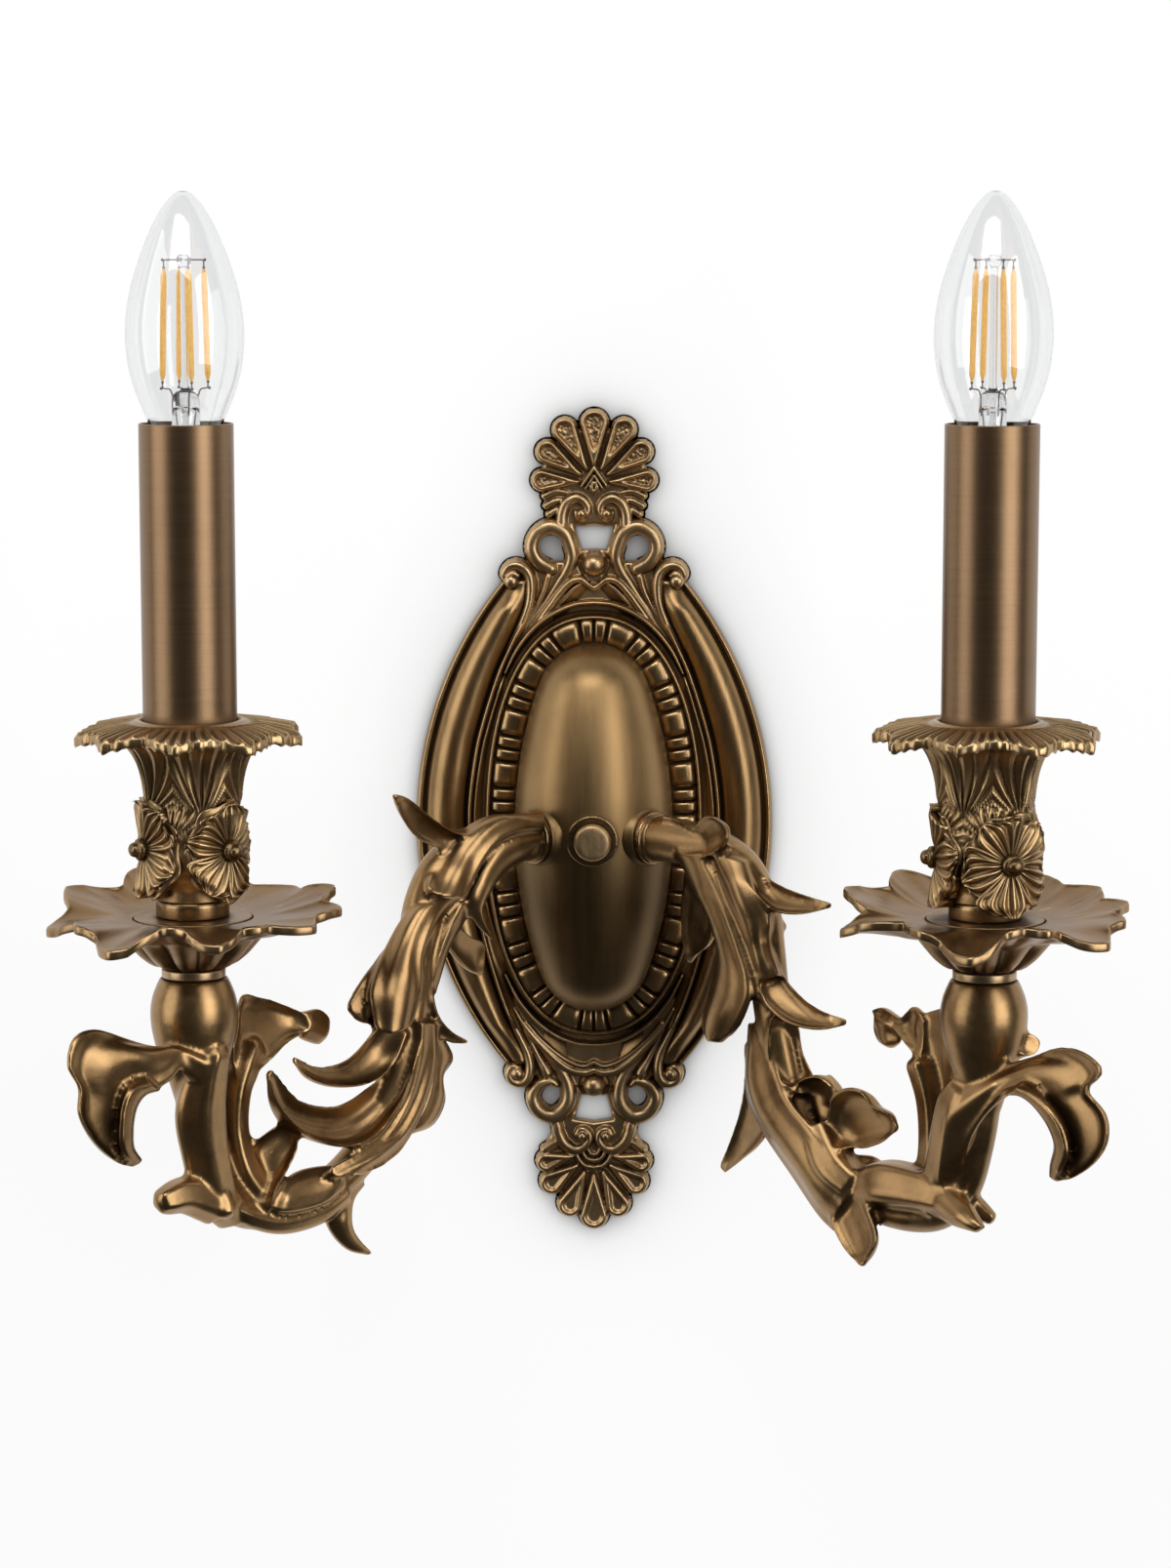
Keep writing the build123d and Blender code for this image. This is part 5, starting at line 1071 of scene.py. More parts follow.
def leaf_shell(edge_a, edge_b, belly, bow, thick, lip, ribs):
    """A closed leaf between two edges. A belly of "OUT" swells at the root and turns hollow towards the end."""
    stations, across = 54, 19
    a = even_line(edge_a, stations)
    b = even_line(edge_b, stations)
    t = np.linspace(0, 1, stations)[:, None]
    s = np.linspace(0, 1, across)[None, :]
    u = 2 * s - 1
    mid = a[:, None, :] * (1 - s[..., None]) + b[:, None, :] * s[..., None]
    span = unit(b - a)
    ahead = unit(np.gradient(0.5 * (a + b), axis=0))
    face = unit(np.cross(span, ahead))
    face = face * np.where(face[:, 2:3] < 0, -1, 1)
    for _ in range(10):
        face[1:-1] = unit(face[:-2] + face[1:-1] * 2 + face[2:])
    wide = np.linalg.norm(b - a, axis=1)[:, None]
    fit = np.clip(wide / 9.0, 0.25, 1.0)
    if belly == "OUT":
        swell = 3.6 * (1 - ease(t, 0.30, 0.62)) - 2.6 * ease(t, 0.50, 0.80)
    else:
        swell = np.full_like(t, belly) * (0.45 + 0.55 * ease(t, 0.0, 0.25)) * (1 - 0.45 * ease(t, 0.8, 1.0))
    lift = swell * fit * (1 - u**2)
    lift = lift + lip * fit * (np.exp(-(((1 - np.abs(u)) / 0.17) ** 2)) * ease(t, 0.1, 0.35))
    lift = lift - 0.6 * lip * fit * np.exp(-(((1 - np.abs(u)) - 0.38) / 0.18) ** 2) * ease(t, 0.1, 0.35)
    if ribs:
        lift = lift + 0.55 * fit * np.cos(u * np.pi * (ribs + 0.5)) * (1 - u**2) * (1 - ease(t, 0.75, 1.0))
    mid = mid + face[:, None, :] * lift[..., None]
    reach = bow * ease(t, 0.72, 1.0) * (1 - u**2) ** 0.7
    mid = mid + ahead[:, None, :] * reach[..., None]
    thin_end = 0.7 + 0.3 * (1 - ease(t, 0.86, 1.0))
    body = max(thick, 2.0) * 0.5 * (0.62 + 0.38 * np.sqrt(np.clip(1 - u**6, 0, 1))) * thin_end
    body = body + 0.5 * (1 - ease(t, 0, 0.3))
    front = mid + face[:, None, :] * body[..., None]
    back = mid - face[:, None, :] * body[..., None]
    ring = np.concatenate([front, back[:, ::-1]], axis=1)
    faces = grid_faces(stations, 2 * across, wrap_columns=True)
    faces.append(list(range(2 * across)))
    faces.append([(stations - 1) * 2 * across + k for k in range(2 * across)][::-1])
    return ring.reshape(-1, 3), faces


def round_stem(points, around, flutes=0, count=50):
    """A closed round stem through (run, height, out, radius) points."""
    line = even_line(points, count)
    middle, radius = line[:, :3], line[:, 3]
    ahead = unit(np.gradient(middle, axis=0))
    first = unit(np.cross(ahead, np.array([0, 0, 1.0]) + 0 * ahead))
    second = unit(np.cross(ahead, first))
    turn = np.linspace(0, 2 * np.pi, around, endpoint=False)
    shape = 1 + (0.07 * np.cos(turn * flutes) if flutes else 0 * turn)
    end = np.sqrt(np.clip(1 - np.clip((np.linspace(0, 1, count) - 0.94) / 0.06, 0, 1) ** 2 * 0.9, 0, 1))
    size = (radius * end)[:, None] * shape[None]
    over, up = (size * np.cos(turn))[..., None], (size * np.sin(turn))[..., None]
    ring = middle[:, None] + first[:, None] * over + second[:, None] * up
    faces = grid_faces(count, around, wrap_columns=True)
    faces.append(list(range(around))[::-1])
    faces.append([(count - 1) * around + k for k in range(around)])
    return ring.reshape(-1, 3), faces


def arm_piece(side, name, leaves, stems, voxel):
    """One arm: trunk, vase, stems and leaves melted into a single casting."""
    trunk = [(run, rise, 0.0, size) for (run, rise), size in zip(ARM_LINE, ARM_SIZES)]
    parts = [round_stem(trunk, 28, count=150)]
    parts += [round_stem(stem, 24, 5) for stem in stems]
    parts += [leaf_shell(*leaf) for leaf in leaves]
    points, faces, start = [], [], 0
    for flat, quads in parts:
        points.append(arm_points(side, flat))
        faces += [[k + start for k in f] for f in quads]
        start += len(flat)
    vase = spin_points(rounded(VASE, 0.8), 64).reshape(-1, 3) + np.array([side * CANDLE_X, CANDLE_Y, 0])
    rows = len(vase) // 64
    points.append(vase)
    faces += grid_faces(rows, 64, wrap_columns=True, start=start)
    merged = make_piece(name + "_rough", np.vstack(points), faces, cast_brass, body=None)
    outward(merged)
    return melt(merged, name, voxel)


def melt(rough, name, voxel):
    """Fuses overlapping closed shapes into one smooth skin, with fillets where they meet."""
    for smoothing, swell in ((2, ARM_FILLET), (5, -ARM_FILLET)):
        remesh = rough.modifiers.new("fuse", "REMESH")
        remesh.mode = "VOXEL"
        remesh.voxel_size = voxel * MM
        remesh.use_smooth_shade = True
        smooth = rough.modifiers.new("soften", "SMOOTH")
        smooth.factor = 0.5
        smooth.iterations = smoothing
        grow = rough.modifiers.new("grow", "DISPLACE")
        grow.mid_level = 0.0
        grow.strength = swell * MM
    last = rough.modifiers.new("soften again", "SMOOTH")
    last.factor = 0.5
    last.iterations = 3
    bpy.context.view_layer.update()
    mesh = bpy.data.meshes.new_from_object(rough.evaluated_get(bpy.context.evaluated_depsgraph_get()))
    count = len(mesh.polygons) * 2
    if count > ARM_TRIANGLES:
        thin = rough.modifiers.new("thin", "DECIMATE")
        thin.ratio = ARM_TRIANGLES / count
        bpy.context.view_layer.update()
        mesh = bpy.data.meshes.new_from_object(rough.evaluated_get(bpy.context.evaluated_depsgraph_get()))
    rough.modifiers.clear()
    bpy.data.objects.remove(rough)
    mesh.name = name
    mesh.polygons.foreach_set("use_smooth", [True] * len(mesh.polygons))
    mesh.materials.clear()
    mesh.materials.append(cast_brass)
    piece = bpy.data.objects.new(name, mesh)
    bpy.context.scene.collection.objects.link(piece)
    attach(piece, "sconce")
    return piece


voxel_size = 0.46
for side, word, leaves, stems in ((-1, "left", LEFT_LEAVES, LEFT_TUBES), (1, "right", RIGHT_LEAVES, RIGHT_TUBES)):
    arm = arm_piece(side, word + "_arm_casting", leaves, stems, voxel_size)
    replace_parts(arm, word + "_arm")


# ---------------------------------------------------------------- bottom crest
def bottom_crest():
    """The palmette, loops, scrolls and garland below the bead band."""
    relief = Relief(34.0, -137.0, -48.0, 0.34)
    relief.ground(16.6 - np.hypot(relief.side, relief.z + 112.5), 2.5)
    relief.ground(np.minimum(11.5 - relief.side, np.minimum(relief.z + 106, -82 - relief.z)), 2.2)
    relief.ground(np.minimum(27.5 - relief.side + np.clip(relief.z + 76, -30, 0) * 0.9,
                             np.minimum(relief.z + 88, -52 - relief.z)), 3.2)
    lobes = [((0, -118.0), (0.0, -131.6), 0.9, 4.9), ((3.2, -117.0), (7.9, -128.0), 0.9, 4.4),
             ((5.6, -114.6), (14.0, -120.6), 0.9, 4.2), ((7.0, -111.4), (15.8, -113.6), 0.8, 3.6)]
    for root, tip, narrow, wide in lobes[::-1]:
        relief.lobe(root, tip, narrow, wide, 2.9, 2.4, 1.6, 1.1, 0.05)
    for line in ([(0, -115.4, 0.75), (3.2, -114.6, 0.75), (5.4, -111.9, 0.75), (5.9, -109.0, 0.6)],
                 [(0, -113.0, 0.7), (2.2, -112.4, 0.7), (3.5, -110.6, 0.7), (3.7, -108.8, 0.6)],
                 [(0, -111.0, 0.6), (1.2, -110.6, 0.6), (1.8, -109.4, 0.6)]):
        relief.wire(line, 3.9, 1.1)
    relief.wire([(8.4, -108.4, 0.7), (12.0, -106.9, 1.3), (16.4, -109.6, 1.5)], 3.2, 1.0)
    relief.wire([(14.0, -99.6, 1.5), (12.4, -101.0, 2.0), (11.7, -103.9, 2.0), (9.9, -107.3, 1.9),
                 (6.7, -109.4, 1.7), (3.8, -109.0, 1.5), (1.9, -107.0, 1.4), (1.6, -104.6, 1.3), (3.0, -102.9, 1.3),
                 (4.7, -102.8, 1.2), (5.6, -104.2, 1.1)], 3.2, 1.05)
    relief.ball(3.9, -104.6, 1.5, 4.6, 1.0)
    relief.wire([(22.6, -68.3, 0.9), (18.2, -73.6, 1.2), (13.8, -79.3, 1.6), (10.3, -83.8, 2.0), (8.6, -88.2, 2.3),
                 (8.5, -92.6, 2.5), (10.4, -96.1, 2.6), (13.4, -98.0, 2.6), (16.8, -97.4, 2.6), (19.3, -95.0, 2.5),
                 (20.3, -91.6, 2.4), (19.0, -88.6, 2.2), (16.9, -86.9, 2.0), (14.2, -86.4, 1.6),
                 (12.6, -87.4, 1.2)], 3.4, 1.0)
    relief.hole(2.75 - np.hypot(relief.side - 14.2, relief.z + 91.4))
    relief.ball(0, -87.6, 3.6, 4.3, 0.95)
    relief.groove([(0, -82.6, 0.6), (3.4, -84.2, 0.6), (4.7, -87.6, 0.6), (3.4, -91.0, 0.5)], 0.9)
    window = np.minimum(-91.7 + 0.3 * (relief.side / 4) ** 2 - relief.z,
                        np.minimum(relief.z + 100.2 - 0.16 * relief.side,
                                   4.3 + (-92 - relief.z) * 0.26 - relief.side))
    relief.hole(window)
    relief.wire([(30.0, -58.0, 0.7), (27.4, -65.3, 1.1), (24.3, -71.6, 1.4), (21.9, -77.1, 1.7), (21.2, -81.7, 1.9),
                 (22.2, -85.4, 1.9), (24.6, -86.9, 1.8), (27.2, -85.9, 1.7), (28.2, -83.3, 1.6), (26.8, -81.2, 1.5),
                 (24.9, -81.6, 1.3)], 3.7, 1.5)
    relief.ball(25.3, -83.5, 2.3, 4.8, 0.95)
    relief.wire([(23.0, -68.6, 0.6), (20.2, -74.3, 0.9), (18.0, -78.8, 1.3), (16.4, -81.7, 1.8),
                 (15.6, -83.3, 1.9)], 3.9, 1.2)
    relief.wire([(0, -82.2, 1.2), (3.1, -83.1, 1.2), (7.6, -82.2, 1.3), (12.0, -79.3, 1.4), (16.4, -75.1, 1.3),
                 (20.3, -70.8, 1.1), (23.4, -66.6, 0.8), (26.4, -61.4, 0.5)], 4.1, 1.4)
    relief.wire([(0, -79.6, 0.8), (3.4, -81.0, 0.9), (8.1, -79.5, 0.9), (13.1, -76.1, 0.9), (18.1, -71.5, 0.8),
                 (22.4, -66.2, 0.6)], 4.3, 1.3)
    relief.wire([(0, -73.4, 0.85), (6.3, -72.7, 0.85), (12.8, -70.0, 0.85), (19.3, -65.0, 0.8), (25.0, -58.0, 0.7),
                 (29.1, -49.9, 0.6)], 4.8, 2.6)
    relief.height += 0.9 * (1 - ease(-relief.z, 60, 80)) * (relief.inside > 0)
    relief.inside = np.minimum(relief.inside, -49.0 - relief.z)
    return relief.piece("bottom_crest", crest_brass)


# ---------------------------------------------------------------- knob, rings, sleeves
def bottle(name, outer, inner, origin, material, body, slot, around=96):
    """A closed vessel with an open foot; both lines run from the foot up to the axis."""
    points, faces, start, feet = [], [], 0, []
    for line, flip in ((outer, False), (inner, True)):
        ring = spin_points(line[:-1], around).reshape(-1, 3)
        rows = len(line) - 1
        faces += grid_faces(rows, around, wrap_columns=True, start=start, flip=flip)
        top = start + rows * around
        last = start + (rows - 1) * around
        for k in range(around):
            tri = [last + k, last + (k + 1) % around, top]
            faces.append(tri[::-1] if flip else tri)
        points += [ring, np.array([[0.0, 0.0, line[-1][1]]])]
        feet.append(start)
        start += rows * around + 1
    for k in range(around):
        n = (k + 1) % around
        faces.append([feet[0] + n, feet[0] + k, feet[1] + k, feet[1] + n])
    flat = np.vstack(points) + np.asarray(origin, dtype=float)
    return outward(make_piece(name, flat, faces, material, body=body, slot=slot))


def knob_pieces():
    """The round nut in the middle of the dome, and its flange."""
    face = (0, -1, 0)
    flange = [(3.2, 40.0), (7.9, 40.0), (8.3, 40.35), (8.3, 41.0), (7.95, 41.4), (7.2, 41.5), (6.2, 41.45),
              (3.2, 41.45)]
    ring = turned_piece("knob_flange", flange, (0, 0, 0), turned_brass, face, closed=True, body="knob_washer",
                        radius=0.2)
    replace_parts(ring, "knob_washer")
    outline = [(0.0, 41.6), (5.3, 41.6), (5.6, 41.9), (5.75, 42.6), (5.95, 43.0), (5.95, 44.6), (5.7, 45.4),
               (5.1, 45.85), (4.2, 46.0), (2.0, 46.0), (0.0, 46.0)]
    button = turned_piece("knob_button", outline, (0, 0, 0), knob_brass, face, body="knob", radius=0.25)
    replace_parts(button, "knob")


knob_brass = aged_brass("knob brass", (0.50, 0.345, 0.18, 1), DARK_BRASS, 0.44, (9.0, 1.0, 1.6), wear=0.8, recess=0.8,
                        pits=0.03, strokes=0.3)


def seat_and_collar(side, word):
    """The boss on the dome that an arm stands on, and the turned ring over it."""
    axis = (side * math.cos(ARM_TURN), -math.sin(ARM_TURN), 0)
    origin = (side * SEAT_X, SEAT_Y, 0)
    boss = [(5.2, -4.0), (10.6, -4.0), (9.7, -1.6), (9.15, -0.5), (8.8, 0.0), (8.8, 0.35), (8.5, 0.4), (5.2, 0.4)]
    turned_piece(word + "_arm_seat", boss, origin, dome_brass, axis, closed=True, radius=0.3)
    line = [(5.15, 0.45), (8.25, 0.45), (8.6, 0.8), (8.6, 2.2), (8.35, 2.6), (7.75, 2.85), (7.6, 3.1), (7.8, 3.5),
            (7.8, 4.1), (7.5, 4.35), (5.15, 4.35)]
    ring = turned_piece(word + "_collar_ring", line, origin, turned_brass, axis, closed=True, radius=0.18)
    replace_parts(ring, word + "_arm_collar")


def stack_pieces(side, word):
    """The turned rings on a candle's axis, and the sleeve over them."""
    origin = (side * CANDLE_X, CANDLE_Y, 0)
    neck = [(5.2, -29.0), (9.2, -29.0), (9.6, -28.7), (9.6, -26.5), (9.35, -26.15), (8.9, -26.02), (5.2, -26.02)]
    disc = [(5.2, -11.68), (17.3, -11.68), (17.68, -11.4), (17.68, -10.75), (17.4, -10.52), (5.2, -10.52)]
    foot = [(5.2, -10.48), (10.6, -10.48), (11.0, -10.1), (11.0, -6.6), (10.7, -5.6), (10.3, -5.02), (5.2, -5.02)]
    for name, outline, material, radius, stands_for in (("_neck", neck, bright_brass, 0.15, "_neck_ring"),
                                                        ("_dish_disc", disc, pan_brass, 0.12, "_seat_disc"),
                                                        ("_cup_spacer", foot, turned_brass, 0.25, "_cup_foot")):
        ring = turned_piece(word + name, outline, origin, material, closed=True, radius=radius)
        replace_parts(ring, word + stands_for)
    tube = [(13.25, 44.05), (13.85, 44.05), (14.0, 44.2), (14.0, 60.0), (14.0, 90.0), (14.0, 120.0), (14.0, 136.3),
            (13.9, 136.55), (13.4, 136.6), (13.25, 136.4), (13.25, 100.0)]
    sleeve = turned_piece(word + "_sleeve_tube", tube, origin, sleeve_brass, closed=True, radius=0.12, around=160,
                          body=word + "_sleeve", slot="sleeve_brass")
    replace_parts(sleeve, word + "_candle_sleeve")


def lamp_pieces(side, word):
    """The clear glass of a candle lamp."""
    origin = (side * CANDLE_X, CANDLE_Y, 0)
    body = word + "_bulb"
    shape = [(8.2, 131.0), (9.2, 132.5), (12.4, 139.9), (14.9, 146.2), (16.6, 152.6), (17.35, 158.5), (17.5, 162.8),
             (17.1, 168.8), (15.8, 176.0), (13.4, 183.9), (11.2, 189.6), (8.8, 194.9), (6.0, 199.6), (3.2, 202.9),
             (1.6, 203.95), (0.7, 204.22), (0.0, 204.3)]
    outer = smooth_line(shape[:-1], 5)
    outer = np.vstack([outer, [0.0, 204.3]])
    slope = np.gradient(outer, axis=0)
    normal = unit(np.stack([slope[:, 1], -slope[:, 0]], axis=-1))
    inner = outer - normal * 0.55
    inner[0] = (outer[0][0] - 0.55, 131.0)
    inner = inner[inner[:, 0] > 0.12]
    inner = np.vstack([inner, [0.0, 203.7]])
    glass = bottle(word + "_lamp_glass", outer, inner, origin, lamp_glass, body, "lamp_glass")
    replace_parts(glass, word + "_bulb_glass")


def rod_tree():
    """Round rods along the lines of a base mesh, thinner towards both ends."""
    tree = Tree("rods along lines")
    radius = tree.named("Radius", "Float", 0.0009)
    tip = tree.named("Tip share of the radius", "Float", 0.4)
    taper = tree.named("Taper share of the length", "Float", 0.1)
    count = tree.named("Points along", "Int", 41)
    around = tree.named("Points around", "Int", 16)
    material = tree.named("Material", "Material")
    line = tree.add("GeometryNodeMeshToCurve", {0: tree.start.outputs[0]}).outputs[0]
    fine = tree.add("GeometryNodeResampleCurve", {"Curve": line, "Count": count}).outputs[0]
    share = tree.add("GeometryNodeSplineParameter").outputs["Factor"]
    maths = tree.maths
    end = maths("SUBTRACT", 1.0, maths("ABSOLUTE", maths("SUBTRACT", maths("MULTIPLY", share, 2.0), 1.0)))
    full = tree.add("ShaderNodeMapRange", {"Value": end, "From Max": maths("MULTIPLY", taper, 2.0), "To Min": tip},
                    interpolation_type="SMOOTHSTEP")
    size = maths("MULTIPLY", radius, full.outputs[0])
    ring = tree.add("GeometryNodeCurvePrimitiveCircle", {"Resolution": around, "Radius": 1.0}).outputs[0]
    rod = tree.add("GeometryNodeCurveToMesh", {"Curve": fine, "Profile Curve": ring, "Fill Caps": True})
    if "Scale" in rod.inputs:
        tree.group.links.new(size, rod.inputs["Scale"])
    else:
        sized = tree.add("GeometryNodeSetCurveRadius", {"Curve": fine, "Radius": size}).outputs[0]
        tree.group.links.new(sized, rod.inputs["Curve"])
    return tree.finish(rod.outputs[0], material)


def weld_tree():
    """A small round weld on every point of a base mesh."""
    tree = Tree("welds on points")
    radius = tree.named("Radius", "Float", 0.0005)
    material = tree.named("Material", "Material")
    ball = tree.add("GeometryNodeMeshIcoSphere", {"Radius": radius, "Subdivisions": 3}).outputs["Mesh"]
    placed = tree.add("GeometryNodeInstanceOnPoints", {"Points": tree.start.outputs[0], "Instance": ball})
    return tree.finish(placed.outputs[0], material)


def bent_line(points, bend):
    """A line through points with its corners rounded."""
    points = [np.asarray(p, dtype=float) for p in points]
    out = [points[0]]
    for before, here, after in zip(points, points[1:], points[2:]):
        first = here + unit(before - here) * bend
        last = here + unit(after - here) * bend
        out += [(1 - t) ** 2 * first + 2 * t * (1 - t) * here + t**2 * last for t in np.linspace(0, 1, 6)]
    out.append(points[-1])
    return out


def lamp_inside(side, word):
    """Stem with its top bead, four coated rods, and the wires that hold and feed them."""
    origin = np.array((side * CANDLE_X, CANDLE_Y, 0.0))
    body = word + "_bulb"
    stem = [(7.5, 131.0), (6.6, 132.6), (5.0, 134.6), (4.2, 136.4), (4.12, 138.6), (4.1, 141.0), (4.15, 142.4),
            (3.9, 144.4), (3.0, 145.7), (1.7, 146.3), (1.22, 147.2), (1.15, 150.0), (1.12, 165.0), (1.12, 180.5),
            (1.3, 182.2), (1.85, 182.9), (2.13, 184.0), (2.13, 184.6), (1.8, 185.4), (1.1, 185.75), (0.4, 185.8)]
    outer = np.vstack([smooth_line(stem, 3), [0.0, 185.8]])
    hollow = smooth_line([(6.9, 131.0), (6.0, 132.8), (4.4, 134.8), (3.55, 136.6), (3.4, 138.8), (3.3, 140.0),
                          (2.7, 141.2), (1.5, 141.9), (0.5, 142.0)], 3)
    inner = np.vstack([hollow, [0.0, 142.0]])
    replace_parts(bottle(word + "_lamp_stem", outer, inner, origin, stem_glass, body, "stem_glass", 64),
                word + "_bulb_stem")
    drawn = [(0.0, 131.2), (1.0, 131.2), (1.0, 138.5), (1.15, 139.4), (0.9, 140.4), (0.0, 140.8)]
    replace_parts(turned_piece(word + "_stem_tube", drawn, origin, stem_glass, around=32, radius=0.3, body=body,
                             slot="stem_glass"), word + "_bulb_stem")

    def spot(radius, turn, height):
        angle = math.radians(turn)
        return origin + np.array((radius * math.cos(angle), radius * math.sin(angle), height))

    rods, rod_edges, wires, wire_edges, welds = [], [], [], [], []

    def lay(line, bend):
        line = bent_line(line, bend)
        wire_edges.extend((len(wires) + k, len(wires) + k + 1) for k in range(len(line) - 1))
        wires.extend(line)

    for step in range(4):
        low, high = 22.0 + 90 * step, 19.5 + 90 * step
        rods += [spot(6.9, low, 149.0), spot(6.0, high, 181.6)]
        rod_edges.append((2 * step, 2 * step + 1))
        lines = [[spot(1.6, high, 184.2), spot(6.0, high, 184.2), spot(6.0, high, 181.4)],
                 [spot(3.3, low, 139.0), spot(3.7, low, 144.2), spot(4.6, low, 146.7), spot(6.9, low, 146.9),
                  spot(6.9, low, 149.3)]]
        for line in lines:
            lay(line, 0.7)
        welds += [spot(6.35, high, 184.2), spot(7.3, low, 146.9), spot(6.0, high, 181.9), spot(6.9, low, 148.7)]
    for sign in (-1, 1):
        lay([origin + (sign * 2.3, 0, 131.2), origin + (sign * 2.5, 0, 136.5), origin + (sign * 3.1, 0, 141.0)], 1.0)
    coated = {"Radius": 0.0009, "Tip share of the radius": 0.42, "Taper share of the length": 0.07,
              "Points along": 60, "Points around": 20, "Material": amber}
    drawn = {"Radius": 0.00023, "Tip share of the radius": 0.8, "Taper share of the length": 0.02,
             "Points along": 40, "Points around": 10, "Material": wire_grey}
    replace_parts(outward(grown(word + "_lamp_rods", rod_lines, rods, rod_edges, coated, body)),
                word + "_bulb_filaments")
    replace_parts(outward(grown(word + "_lamp_wires", rod_lines, wires, wire_edges, drawn, body)),
                word + "_bulb_wires")
    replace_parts(outward(grown(word + "_lamp_welds", weld_balls, welds, [],
                              {"Radius": 0.00046, "Material": wire_grey}, body)),
                word + "_bulb_wires")


bright_brass = aged_brass("bright brushed brass", (0.46, 0.31, 0.17, 1), DARK_BRASS, 0.33, (0.25, 0.25, 10.0),
                          wear=0.8, recess=0.7, pits=0.03, strokes=0.25)
pan_brass = aged_brass("dish brass", (0.27, 0.165, 0.08, 1), (0.09, 0.05, 0.026, 1), 0.36, wear=0.5, recess=0.9,
                       pits=0.03, strokes=0.2)
rod_lines = rod_tree()
weld_balls = weld_tree()
bottom_crest()
knob_pieces()
for side, word in ((-1, "left"), (1, "right")):
    seat_and_collar(side, word)
    stack_pieces(side, word)
    lamp_pieces(side, word)
    lamp_inside(side, word)


# ---------------------------------------------------------------- drip pans
# Tips of each dish's leaf lobes: (degrees round from the front, to the right positive; radius; height above
# the dish's plane; half the lobe's width in degrees).
LEFT_TIPS = [(-82, 43.8, -5.0, 17), (-54, 40.5, -1.0, 12), (-29, 45.0, -6.0, 15), (-3, 36.5, 0.5, 9),
             (15, 41.0, -4.5, 12), (36, 38.0, -0.5, 10), (57, 45.0, -1.5, 14), (84, 46.0, 1.0, 13),
             (110, 44.0, 4.0, 14), (141, 42.0, 1.0, 16), (174, 41.5, 2.5, 15), (-152, 43.0, 5.5, 16),
             (-110, 44.0, 3.0, 17)]
RIGHT_TIPS = [(-76, 46.0, -4.5, 15), (-60, 44.0, 0.5, 12), (-36, 39.5, -0.5, 12), (-13, 44.5, -6.5, 14),
              (9, 37.0, 0.5, 9), (26, 38.5, 0.0, 9), (46, 45.0, -4.5, 14), (70, 43.5, 0.0, 11), (92, 43.0, 2.0, 12),
              (122, 42.0, 3.0, 15), (152, 42.0, 4.0, 15), (-172, 41.0, 2.0, 15), (-145, 43.0, 5.5, 15),
              (-108, 44.5, 3.5, 17)]


DISH_RADIUS = 34.5  # between its leaf lobes
BOWL_RADIUS = 21.6  # where the bowl below turns into the dish
BORE_RADIUS = 5.2  # the hole for the threaded tube


class Rings:
    """A round casting on a candle's axis, built ring by ring; every ring has a radius and a height round it."""

    def __init__(self, around):
        self.around = around
        self.turn = np.linspace(-180, 180, around, endpoint=False)
        self.angle = np.radians(self.turn)
        self.rows = []

    def add(self, radius, height):
        """One more ring; radius and height may be numbers or change round the ring."""
        self.rows.append(tuple(np.broadcast_to(v, (self.around,)).astype(float) for v in (radius, height)))

    def piece(self, name, side, material, stands_for):
        """The closed casting on its candle's axis; its leaf tips are kept within the CAD's width."""
        radius, height = np.moveaxis(np.array(self.rows), 1, 0)
        x = side * CANDLE_X + radius * np.sin(self.angle)
        x = np.clip(x, cad_low[0] / MM + 0.05, cad_high[0] / MM - 0.05)
        y = CANDLE_Y - radius * np.cos(self.angle)
        points = np.stack([x, y, height], axis=-1).reshape(-1, 3)
        faces = grid_faces(len(self.rows), self.around, wrap_rows=True, wrap_columns=True)
        made = outward(make_piece(name, points, faces, material))
        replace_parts(made, stands_for)


def wrapped(turn, middle):
    """Difference of two angles in degrees, from -180 to 180."""
    return (turn - middle + 180) % 360 - 180


